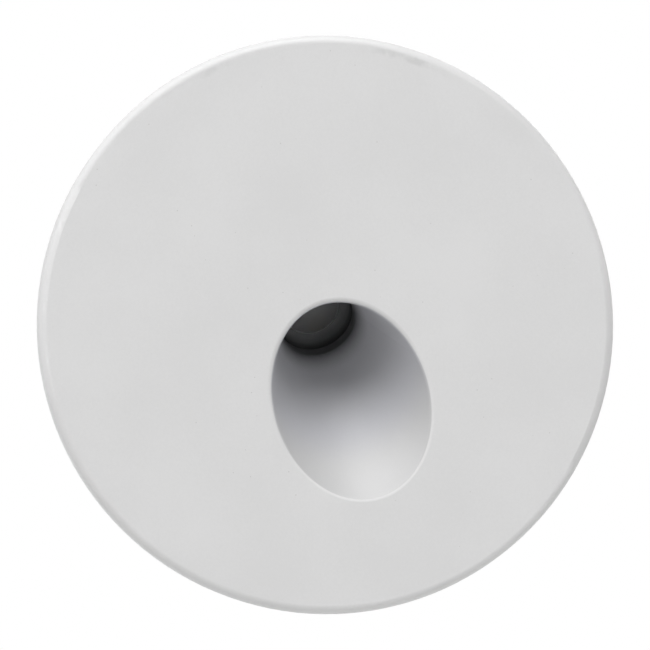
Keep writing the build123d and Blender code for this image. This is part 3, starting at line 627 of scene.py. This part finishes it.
sink = Finish("extruded_aluminium")
x, y, z = sink.axes()
die_lines = sink.noise(0.00025, 3.0, (1, 30, 1), (well_tilt, 0, 0))
tool_rings = 0.5 + 0.5 * y.wave(sink_tool_feed)
turned = sink.step((x**2 + z**2) ** 0.5, sink_turned_radius - 0.0002, sink_turned_radius)
sink_height = die_lines * (1 - turned) + tool_rings * turned
paint(
    sink.surface(
        base_color=sink.blend(sink_height, (0.62, 0.62, 0.63, 1), (0.76, 0.76, 0.77, 1)),
        metallic=1.0,
        roughness=0.30 + 0.15 * sink.noise(0.003, 3.0),
        normal=sink.bump(sink_height, 0.000006),
    ),
    "heat_sink",
)


# Rear housing: a die-cast aluminium cup, shot-blasted after casting. The metal's flow shows as
# soft clouds, two ejector pins have left rings in its back, and the flange's seat is machined.
ejector_side = 0.0135
ejector_rise = 0.0085
ejector_radius = 0.0022
inner_back = 0.0410
flange_seat = 0.00052
seat_tool_feed = 0.00025

metal = Finish("cast_aluminium")
clouds = metal.noise(0.009, 4.0)
dimples = metal.cells(0.00050) * 0.3 + metal.noise(0.00028, 3.0) * 0.7
pits = metal.step(metal.cells(0.0022), 0.10, 0.04)
tone = metal.step(clouds * 0.6 + dimples * 0.5, 0.25, 0.85)
colour = metal.blend(tone, (0.31, 0.31, 0.315, 1), (0.42, 0.42, 0.425, 1))
colour = metal.blend(pits * 0.6, colour, (0.20, 0.20, 0.20, 1))
x, y, z = metal.axes()
from_middle = (x**2 + z**2) ** 0.5
ejector = ((abs(x) - ejector_side) ** 2 + (z - ejector_rise) ** 2) ** 0.5
ejector_ring = metal.step(abs(ejector - ejector_radius), 0.00022, 0.00006)
ejector_ring = ejector_ring * metal.step(y, inner_back, inner_back + 0.0005)
machined = metal.step(y, flange_seat + 0.00004, flange_seat)
lathe = 0.5 + 0.5 * from_middle.wave(seat_tool_feed)
turned_metal = metal.blend(lathe, (0.62, 0.62, 0.63, 1), (0.72, 0.72, 0.73, 1))
colour = metal.blend(machined, colour, turned_metal)
colour = metal.blend(ejector_ring * 0.5, colour, (0.25, 0.25, 0.25, 1))
relief = (dimples * 0.8 + clouds * 0.6 - pits * 0.8) * (1 - machined)
relief = relief + lathe * machined * 0.15 - ejector_ring * 2.0
paint(
    metal.surface(
        base_color=colour,
        metallic=0.92,
        roughness=0.46 + 0.14 * clouds - 0.12 * machined,
        normal=metal.bump(relief, 0.00003),
    ),
    "rear_housing",
)


# Screws and hinge pins: cold-headed steel, zinc-plated. The plating is a little uneven, with small
# dull spots.
zinc = Finish("zinc_plated_steel")
clouds = zinc.noise(0.0016, 4.0)
grain = zinc.noise(0.00012, 2.0)
dull = zinc.step(zinc.cells(0.0011), 0.22, 0.08)
plating = zinc.blend(
    zinc.step(clouds, 0.3, 0.7), (0.42, 0.43, 0.46, 1), (0.56, 0.57, 0.60, 1)
)
zinc_steel = zinc.surface(
    base_color=zinc.blend(dull * 0.4, plating, (0.34, 0.34, 0.35, 1)),
    metallic=1.0,
    roughness=0.24 + 0.12 * clouds + 0.15 * dull,
    normal=zinc.bump(grain + dull * 0.3, 0.000004),
)
paint(zinc_steel, "housing_screws", "bracket_screws", "heat_sink_screws")
paint(zinc_steel, "clip_pin_left", "clip_pin_right")


# Earth screw: turned from brass and slightly tarnished in clouds. It sits in the housing with its
# washer, ready for the earth wire.
brass = Finish("brass")
tarnish = brass.noise(0.0014, 4.0)
dulled = brass.step(tarnish, 0.3, 0.75)
paint(
    brass.surface(
        base_color=brass.blend(dulled, (0.80, 0.60, 0.26, 1), (0.52, 0.36, 0.15, 1)),
        metallic=1.0,
        roughness=0.26 + 0.2 * tarnish,
        normal=brass.bump(brass.noise(0.00015, 2.0), 0.000004),
    ),
    "earth_screw",
)


# Moulded plastics: the driver's tray, the terminal block and the cable gland. Each has a sparked
# skin with soft flow marks.
moulding_grain = 0.00030
moulding_depth = 0.000014
cage_middle = 0.0006
cage_offset = 0.0025
mouth_half = 0.00152
mouth_half_height = 0.0015
mouth_drop = 0.0110
mouth_depth = 0.0331
screw_depth = 0.0302
screw_radius = 0.00168
screw_height = -0.0055


def moulding(name, dark, light, rough):
    """A moulded plastic before it is finished: a fine grain over soft flow marks, with scuffed
    high spots. Given with its colour, its roughness and its skin's normal."""
    plastic = Finish(name)
    flow = plastic.noise(0.005, 3.0, (1, 2.5, 1))
    skin_grain = plastic.noise(moulding_grain, 3.0)
    scuff = plastic.step(plastic.noise(0.0014, 4.0), 0.60, 0.74)
    tone = plastic.step(flow * 0.65 + skin_grain * 0.35, 0.3, 0.7)
    rough = rough + 0.12 * flow + 0.08 * scuff
    normal = plastic.bump(skin_grain, moulding_depth)
    return plastic, plastic.blend(tone, dark, light), rough, normal


def moulded(name, dark, light, rough):
    """The plain moulding, finished."""
    plastic, colour, rough, normal = moulding(name, dark, light, rough)
    return plastic.surface(base_color=colour, roughness=rough, normal=normal)


tray = moulded("tray_polycarbonate", (0.62, 0.61, 0.57, 1), (0.70, 0.69, 0.65, 1), 0.42)
paint(tray, "driver_tray")

plastic, colour, rough, normal = moulding(
    "terminal_polyamide", (0.10, 0.20, 0.12, 1), (0.13, 0.25, 0.15, 1), 0.40
)
x, y, z = plastic.axes()
from_cage = abs(x - cage_middle) - cage_offset
mouth = plastic.step(abs(from_cage), mouth_half + 0.00006, mouth_half)
mouth = mouth * plastic.step(y, mouth_depth + 0.0003, mouth_depth)
mouth = mouth * plastic.step(abs(z + mouth_drop), mouth_half_height + 0.0002, mouth_half_height)
from_screw = (from_cage**2 + (y - screw_depth) ** 2) ** 0.5
screw = plastic.step(from_screw, screw_radius + 0.00004, screw_radius)
screw = screw * plastic.step(z, screw_height, screw_height - 0.0002)
cage = plastic.step(mouth + screw, 0.2, 0.8)
paint(
    plastic.surface(
        base_color=plastic.blend(cage, colour, (0.62, 0.62, 0.63, 1)),
        metallic=cage,
        roughness=rough - 0.1 * cage,
        normal=normal,
    ),
    "terminal_block",
)


# Driver board: glass-epoxy with a green mask. Tracks run under the mask and the bare edges show
# the layers of glass cloth.
driver_drop = 0.0142
driver_half = 0.00074
cloth_layer = 0.0002

driver = Finish("driver_board")
z = driver.axes()[2]
surface_mask = driver.step(abs(z + driver_drop), driver_half, driver_half + 0.00004)
lanes = driver.add(
    "ShaderNodeTexBrick",
    {},
    {
        "Vector": driver.scaled(0.0042),
        "Scale": 1.0,
        "Mortar Size": 0.06,
        "Brick Width": 0.9,
        "Row Height": 0.45,
    },
    "Fac",
)
cloth = 0.5 + 0.5 * z.wave(cloth_layer)
green = driver.blend(lanes, (0.010, 0.085, 0.035, 1), (0.016, 0.130, 0.055, 1))
edge = driver.blend(cloth, (0.42, 0.40, 0.22, 1), (0.55, 0.53, 0.32, 1))
paint(
    driver.surface(
        base_color=driver.blend(surface_mask, edge, green),
        roughness=0.30 + 0.1 * driver.noise(0.002, 3.0) + 0.3 * (1 - surface_mask),
        normal=driver.bump(lanes * surface_mask + 0.2 * driver.noise(0.0002), 0.00002),
    ),
    "driver_board",
)


# Driver parts, coloured by where they stand: a transformer with a taped winding between two
# ferrite halves, a film capacitor, a round capacitor, a drum inductor and a chip.
row_side = 0.0035
row_back = 0.0225
winding_drop = 0.0091
drum_drop = 0.0109
strand_pitch = 0.00035
can_top = -0.00628
stripe_side = 0.0096
stripe_depth = 0.0180

parts = Finish("driver_parts")
x, y, z = parts.axes()
at_right = parts.step(x, row_side, row_side + 0.001)
at_left = parts.step(x, -row_side, -row_side - 0.001)
at_back = parts.step(y, row_back, row_back + 0.001)
fine = parts.noise(0.0003, 3.0)
ferrite = parts.blend(fine, (0.045, 0.045, 0.048, 1), (0.085, 0.085, 0.090, 1))
tape_layers = parts.step(parts.noise(0.0011, 2.0, (6, 6, 0.25)), 0.4, 0.6)
tape = parts.blend(tape_layers, (0.68, 0.47, 0.06, 1), (0.80, 0.60, 0.12, 1))
wound = parts.step(abs(z + winding_drop), 0.0022, 0.0020)
transformer = parts.blend(wound, ferrite, tape)
strand = 0.5 + 0.5 * z.wave(strand_pitch)
copper = parts.blend(strand, (0.45, 0.17, 0.07, 1), (0.80, 0.40, 0.20, 1))
drum_winding = parts.step(abs(z + drum_drop), 0.0016, 0.0014)
inductor = parts.blend(drum_winding, ferrite, copper)
film = parts.blend(fine, (0.42, 0.030, 0.020, 1), (0.52, 0.050, 0.030, 1))
top = parts.step(z, can_top, can_top + 0.00006)
stripe = parts.step(abs(x - stripe_side), 0.0009, 0.0008)
stripe = stripe * parts.step(y, stripe_depth, stripe_depth - 0.0004)
sleeve = parts.blend(stripe, (0.018, 0.020, 0.040, 1), (0.45, 0.46, 0.48, 1))
can = parts.blend(top, sleeve, (0.62, 0.62, 0.63, 1))
chip = parts.blend(fine, (0.020, 0.020, 0.021, 1), (0.040, 0.040, 0.042, 1))
back_row = parts.blend(at_right, transformer, film)
front_row = parts.blend(at_left, parts.blend(at_right, chip, can), inductor)
bright = (1 - at_back) * (at_right * top + at_left * drum_winding)
paint(
    parts.surface(
        base_color=parts.blend(at_back, front_row, back_row),
        metallic=bright,
        roughness=0.38 + 0.15 * fine,
        normal=parts.bump(strand * at_left * (1 - at_back) * drum_winding + 0.2 * fine, 0.00004),
    ),
    "driver_parts",
)


# Leads: stranded wire in silicone insulation, one red and one black, with a talc bloom. They run
# from the LED board's tab to the driver.
leads = Finish("lead_insulation")
x = leads.axes()[0]
talc = leads.step(leads.noise(0.0009, 4.0), 0.5, 0.8)
red_lead = leads.step(x, -0.0005, 0.0005)
shade = leads.blend(red_lead, (0.020, 0.020, 0.021, 1), (0.42, 0.020, 0.016, 1))
paint(
    leads.surface(
        base_color=leads.blend(talc * 0.18, shade, (0.6, 0.6, 0.6, 1)),
        roughness=0.50 + 0.2 * talc,
        normal=leads.bump(leads.noise(0.00025, 2.0), 0.000015),
    ),
    "led_leads",
)


# Cable gland: body, locknut and cap nut of black polyamide. The cap nut is a hexagon below, with
# its corners cut back by a cone, and a fluted grip above it that runs into a dome.
black_plastic = moulded(
    "black_polyamide", (0.014, 0.014, 0.015, 1), (0.034, 0.034, 0.036, 1), 0.40
)
paint(black_plastic, "gland_body", "gland_locknut")

nut_low, nut_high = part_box("gland_nut")
gland_axis = (nut_low + nut_high) / 2
nut_flat = 0.0070
nut_corner_start = 0.0074
nut_corner_slope = 1.7
nut_hex_length = 0.0048
nut_grip_radius = 0.0064
nut_flutes = 24
nut_flute_depth = 0.00022
nut_dome = 0.0022
nut_bores = [(0.0, 0.0056), (0.0057, 0.0056), (0.0058, 0.0043), (0.0078, 0.0043), (0.0079, 0.0037)]
nut_lip_round = 0.00025
nut_lip_front = 0.0001
nut_lip_back = 0.0004
nut_columns = 288


def round_gland(base, along, radius, turn):
    """Rings round the gland's axis, each that way along from the base and with that radius."""
    across = gland_axis.x + radius * np.cos(turn)
    height = gland_axis.z + radius * np.sin(turn)
    return np.stack([across, base + along * np.ones(turn.size), height], -1)


def cap_nut():
    """Round the gland's axis the outer radius is the hexagon's, flat / cos(angle from the flat),
    but no more than a cone that widens from each end of the hexagon. Above it, the radius is the
    grip's, less a cosine of the angle for the flutes, and rounds in on a quarter circle at the
    end. The rows then go back down the stepped bore, so the grid closes on itself."""
    turn = np.linspace(0, 2 * np.pi, nut_columns, endpoint=False)
    length = nut_high.y - nut_low.y
    hexagon = nut_flat / np.cos(turn % (np.pi / 3) - np.pi / 6)
    rows = []
    for along in np.linspace(0, nut_hex_length, 13):
        end = min(along, nut_hex_length - along)
        rows.append((along, np.minimum(hexagon, nut_corner_start + nut_corner_slope * end)))
    flutes = 0.5 - 0.5 * np.cos(nut_flutes * turn)
    grip_end = length - nut_dome
    for along in np.linspace(nut_hex_length + 0.0001, grip_end, 12):
        inside = (along - nut_hex_length) / (grip_end - nut_hex_length)
        fade = min(1.0, 6 * inside, 4 * (1 - inside))
        rows.append((along, nut_grip_radius - nut_flute_depth * fade * flutes))
    for step in np.linspace(0, np.pi / 2, 10)[1:]:
        radius = nut_grip_radius - nut_dome * (1 - np.cos(step))
        rows.append((grip_end + nut_dome * np.sin(step), radius + 0 * turn))
    lip = nut_bores[-1][1]
    rows.append((length - nut_lip_front, lip + nut_lip_round + 0 * turn))
    rows.append((length - nut_lip_back, lip + 0 * turn))
    for along, radius in reversed(nut_bores):
        rows.append((along, radius + 0 * turn))
    along = np.array([row[0] for row in rows])[:, None]
    radius = np.array([row[1] for row in rows])
    return round_gland(nut_low.y, along, radius, turn)


cap = skin("gland_cap_nut", cap_nut(), closed=True, crease=28)
cap.data.materials.append(black_plastic)
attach(cap, "root")
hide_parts("gland_nut")


# Gland seal: a moulded rubber bush that the cap nut squeezes. Its bore has soft lips that close on
# the cable, and its outer end is bevelled to slide under the nut's dome.
def rubber(name, dark, light, size, depth):
    """Moulded rubber: a soft blotchy bloom over a fine matt grain."""
    compound = Finish(name)
    bloom = compound.noise(size * 8, 4.0)
    grain = compound.noise(size, 3.0)
    return compound.surface(
        base_color=compound.blend(bloom * 0.7 + grain * 0.3, dark, light),
        roughness=0.70 + 0.15 * bloom,
        normal=compound.bump(grain, depth),
    )


seal_low, seal_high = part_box("gland_seal")
seal_bore = 0.0031
seal_lip = 0.00030
seal_lip_pitch = 0.0018
seal_bevel = 0.0007
seal_round = 0.00025
seal_columns = 96


def lipped_bush():
    """Round the gland's axis, one row of rings goes down the bore, whose radius is the bore less a
    raised cosine of the way along it, and one comes back outside at the full radius, which slants
    in over the bevel. Each end is one quarter circle wide."""
    length = seal_high.y - seal_low.y
    outer = (seal_high.x - seal_low.x) / 2
    along = np.linspace(seal_round, length - seal_round, 60)
    lips = seal_bore - seal_lip * (0.5 - 0.5 * np.cos(2 * np.pi * along / seal_lip_pitch)) ** 2
    quarter = np.linspace(0, np.pi / 2, 5)[1:]
    flat_end = [(0.0, outer - seal_round), (0.0, lips[0] + seal_round)]
    back = [
        (seal_round * (1 - np.sin(step)), outer - seal_round * (1 - np.cos(step)))
        for step in quarter[:-1]
    ]
    front = [(length, lips[-1] + seal_round), (length, outer - seal_bevel)]
    sides = [(length - seal_bevel, outer), (seal_round, outer)]
    rows = np.array(flat_end + list(zip(along, lips)) + front + sides + back)
    turn = np.linspace(0, 2 * np.pi, seal_columns, endpoint=False)
    return round_gland(seal_low.y, rows[:, :1], rows[:, 1:], turn)


bush = skin("gland_rubber_bush", lipped_bush(), closed=True, crease=40)
bush.data.materials.append(
    rubber("gland_rubber", (0.012, 0.012, 0.012, 1), (0.036, 0.036, 0.036, 1), 0.0003, 0.00002)
)
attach(bush, "root")
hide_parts("gland_seal")


# Clip brackets and wings: punched and folded strip. The brackets are zinc-plated, the wings are
# blue-grey spring steel whose rolling lines run along the strip.
cheek_face = 0.00560
tint_start = 0.0250
tint_end = 0.0345

bracket_steel = Finish("plated_strip")
z = bracket_steel.axes()[2]
rolled = bracket_steel.noise(0.00022, 3.0, (1, 24, 1))
spangle = bracket_steel.noise(0.0026, 3.0)
wear = bracket_steel.step(bracket_steel.noise(0.0007, 3.0), 0.35, 0.6)
wear = bracket_steel.step(abs(z), cheek_face - 0.00025, cheek_face) * wear
shade = rolled * 0.4 + spangle * 0.6
strip_colour = bracket_steel.blend(shade, (0.40, 0.41, 0.43, 1), (0.55, 0.56, 0.59, 1))
paint(
    bracket_steel.surface(
        base_color=bracket_steel.blend(wear * 0.5, strip_colour, (0.33, 0.32, 0.31, 1)),
        metallic=1.0,
        roughness=0.27 + 0.16 * spangle + 0.1 * wear,
        normal=bracket_steel.bump(rolled + wear * 0.5, 0.000005),
    ),
    "clip_bracket_left",
    "clip_bracket_right",
)

wing_steel = Finish("spring_strip")
y = wing_steel.axes()[1]
rolled = wing_steel.noise(0.00020, 3.0, (1, 40, 1))
clouds = wing_steel.noise(0.003, 4.0)
heat_tint = wing_steel.step(y, tint_start, tint_end)
shade = rolled * 0.5 + clouds * 0.5
strip_colour = wing_steel.blend(shade, (0.34, 0.35, 0.37, 1), (0.49, 0.50, 0.52, 1))
paint(
    wing_steel.surface(
        base_color=wing_steel.blend(heat_tint * 0.25, strip_colour, (0.46, 0.40, 0.31, 1)),
        metallic=1.0,
        roughness=0.24 + 0.14 * clouds,
        normal=wing_steel.bump(rolled, 0.000005),
    ),
    "clip_wing_left",
    "clip_wing_right",
)


# Torsion springs: music wire wound three and a half turns clockwise round the pin. The short leg
# bears on the bracket, the long one on the wing.
pin_low, pin_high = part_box("clip_pin_right")
pin_place = (pin_low + pin_high) / 2
bracket_face = 0.0257
clip_flare = math.radians(14.0)
wire_radius = 0.00035
coil_radius = 0.0016
coil_pitch = 0.00115
coil_turns = 3
short_leg = 0.005
long_leg = 0.008
leg_gap = 0.00005
wire_sides = 14
turn_steps = 40
wire_end = 0.00012

leg_reach = pin_place.x - bracket_face - wire_radius - leg_gap
coil_start = math.pi - math.asin((leg_reach - coil_radius) / short_leg)
coil_sweep = coil_start - clip_flare + 2 * math.pi * coil_turns


def wire_line():
    """The wire's middle: a straight leg, then the helix, which keeps the coil's radius and climbs
    one pitch a turn about the pin, then the other leg, each leg along the helix's end tangent.
    Given with the unit tangent at each point."""
    turned = np.linspace(0, coil_sweep, int(turn_steps * coil_sweep / (2 * math.pi)))
    climb = coil_pitch / (2 * math.pi)
    angle = coil_start - turned
    across, outward = coil_radius * np.cos(angle), coil_radius * np.sin(angle)
    coil = np.stack([across, outward, climb * (turned - coil_sweep / 2)], -1)
    tangent = np.stack([outward, -across, climb + 0 * angle], -1)
    tangent /= np.linalg.norm(tangent, axis=1, keepdims=True)
    legs = np.linspace(0, 1, 12)[:, None]
    before = coil[0] - tangent[0] * short_leg * (1 - legs[:-1])
    after = coil[-1] + tangent[-1] * long_leg * legs[1:]
    middle = np.vstack([before, coil, after]) + np.array(pin_place)
    first = np.repeat(tangent[:1], len(before), 0)
    last = np.repeat(tangent[-1:], len(after), 0)
    return middle, np.vstack([first, tangent, last])


def round_wire(middle, along):
    """A circle of the wire's radius square to the line at each of its points, smaller at the two
    cut ends, which are rounded by tumbling."""
    side = np.cross(along, [0.0, 0.0, 1.0])
    side /= np.linalg.norm(side, axis=1, keepdims=True)
    over = np.cross(side, along)
    cut = [wire_radius - wire_end]
    radius = np.concatenate([cut, np.full(len(middle), wire_radius), cut])[:, None, None]
    start = middle[:1] + along[:1] * wire_end
    end = middle[-1:] - along[-1:] * wire_end
    middle = np.vstack([middle[:1], start, middle[1:-1], end, middle[-1:]])
    side, over = (np.vstack([part[:1], part, part[-1:]]) for part in (side, over))
    turn = np.linspace(0, 2 * np.pi, wire_sides, endpoint=False)[None, :, None]
    return middle[:, None] + radius * (np.cos(turn) * side[:, None] + np.sin(turn) * over[:, None])


def turned_over(points):
    """The same piece for the left side: turned half round about the face's own axis."""
    return points * np.array([-1.0, 1.0, -1.0])


wire = Finish("music_wire")
drawn = wire.noise(0.00010, 2.0)
oil = wire.step(wire.noise(0.0012, 4.0), 0.45, 0.7)
wire_steel = wire.surface(
    base_color=wire.blend(drawn * 0.5 + oil * 0.5, (0.46, 0.46, 0.47, 1), (0.66, 0.66, 0.67, 1)),
    metallic=1.0,
    roughness=0.22 + 0.18 * oil,
    normal=wire.bump(drawn, 0.000003),
)
coil_half = coil_pitch * coil_sweep / (4 * math.pi)
for side, turned in (("right", False), ("left", True)):
    points = round_wire(*wire_line())
    low, high = (Vector((pin_place.x, pin_place.y, way * coil_half)) for way in (-1, 1))
    if turned:
        points = turned_over(points)
        low, high = (Vector((-end.x, end.y, -end.z)) for end in (low, high))
    spring = skin(f"wound_spring_{side}", points, crease=50)
    spring.data.materials.append(wire_steel)
    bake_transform(spring)
    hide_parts(f"clip_spring_{side}")


# Sleeves: dip-moulded black rubber drawn over the wings' curled ends. Each is closed at the tip,
# ribbed across for grip, and has a rolled lip where it ends on the wing.
wing_reach = 0.0215
strip_offset = 0.00255
curl_radius = 0.0020
curl_turn = math.radians(110)
sleeve_length = 0.0060
sleeve_wall = 0.00058
strip_half = 0.00035
strip_half_width = 0.0043
sleeve_rib = 0.00010
sleeve_rib_pitch = 0.0011
sleeve_lip = 0.00012
sleeve_lip_length = 0.0003
sleeve_lip_thinner = 0.00025
sleeve_tip_length = 0.0002
sleeve_tip_thinner = 0.0001
sleeve_slack = 0.00001
sleeve_power = 6
sleeve_columns = 72


def sleeve_path(along):
    """The strip's middle line in the wing's own plane, from where the sleeve starts: straight for
    the sleeve's length, then round the curl's circle, then straight on. Given as the way along
    the wing, the way out from it, and the angle that the line has turned through."""
    straight = np.clip(along, None, sleeve_length)
    angle = np.clip((along - sleeve_length) / curl_radius, 0, curl_turn)
    past = np.clip(along - sleeve_length - curl_radius * curl_turn, 0, None)
    forward = wing_reach - sleeve_length + straight
    forward = forward + curl_radius * np.sin(angle) + past * np.cos(angle)
    outward = strip_offset - curl_radius * (1 - np.cos(angle)) - past * np.sin(angle)
    return forward, outward, angle


def rubber_sleeve():
    """Rings in the shape |u|^6 + |v|^6 = 1 stand square to the strip's line. Outside they are the
    strip plus the wall, plus ribs that follow a cosine of the way along, and close over the tip
    on a quarter ellipse. At the lip they turn in, and inside they are the strip's own size."""
    whole = sleeve_length + curl_radius * curl_turn
    cap = np.linspace(0, np.pi / 2, 9)[1:]
    outer = np.linspace(sleeve_lip_length, whole - sleeve_tip_length, 70)
    ribs = sleeve_rib * np.clip(np.cos(2 * np.pi * outer / sleeve_rib_pitch), 0, None)
    ribs = ribs * (outer < sleeve_length)
    lip = sleeve_lip * np.exp(-(((outer - sleeve_lip_length) / sleeve_lip_length) ** 2))
    grow = sleeve_wall + np.minimum(ribs + lip, sleeve_lip) - sleeve_lip
    tip = sleeve_wall - sleeve_tip_thinner
    tip_rings = whole - sleeve_tip_length + (tip + sleeve_tip_length) * np.sin(cap[:-1])
    along = np.concatenate([[0.0], outer, tip_rings])
    lip_end = [sleeve_wall - sleeve_lip_thinner]
    more = np.concatenate([lip_end, grow, grow[-1] * np.ones(len(cap) - 1)])
    close = np.concatenate([np.ones(1 + outer.size), np.cos(cap[:-1])])
    inner = np.linspace(0, whole, 40)
    along = np.concatenate([along[::-1], inner])
    more = np.concatenate([more[::-1], sleeve_slack + 0 * inner])
    close = np.concatenate([close[::-1], np.ones(inner.size)])
    forward, outward, angle = (part[:, None] for part in sleeve_path(along))
    turn = np.linspace(0, 2 * np.pi, sleeve_columns, endpoint=False)[None, :]
    reach = square_reach(turn, sleeve_power)
    wide = (strip_half_width + more[:, None] * close[:, None] ** 0.3) * reach * np.cos(turn)
    thick = (strip_half + more[:, None]) * close[:, None] * reach * np.sin(turn)
    flare_x, flare_y = math.sin(clip_flare), -math.cos(clip_flare)
    u = forward + thick * np.sin(angle)
    v = outward + thick * np.cos(angle)
    across = pin_place.x + u * flare_x - v * flare_y
    depth = pin_place.y + u * flare_y + v * flare_x
    return np.stack([across, depth, wide + 0 * u], -1)


sleeve_rubber = rubber(
    "sleeve_rubber", (0.020, 0.020, 0.021, 1), (0.048, 0.048, 0.050, 1), 0.00025, 0.000015
)
for side, turned in (("right", False), ("left", True)):
    points = rubber_sleeve()
    sleeve = skin(f"ribbed_sleeve_{side}", turned_over(points) if turned else points, crease=60)
    sleeve.data.materials.append(sleeve_rubber)
    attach(sleeve, f"wing_{side}")
    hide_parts(f"clip_sleeve_{side}")
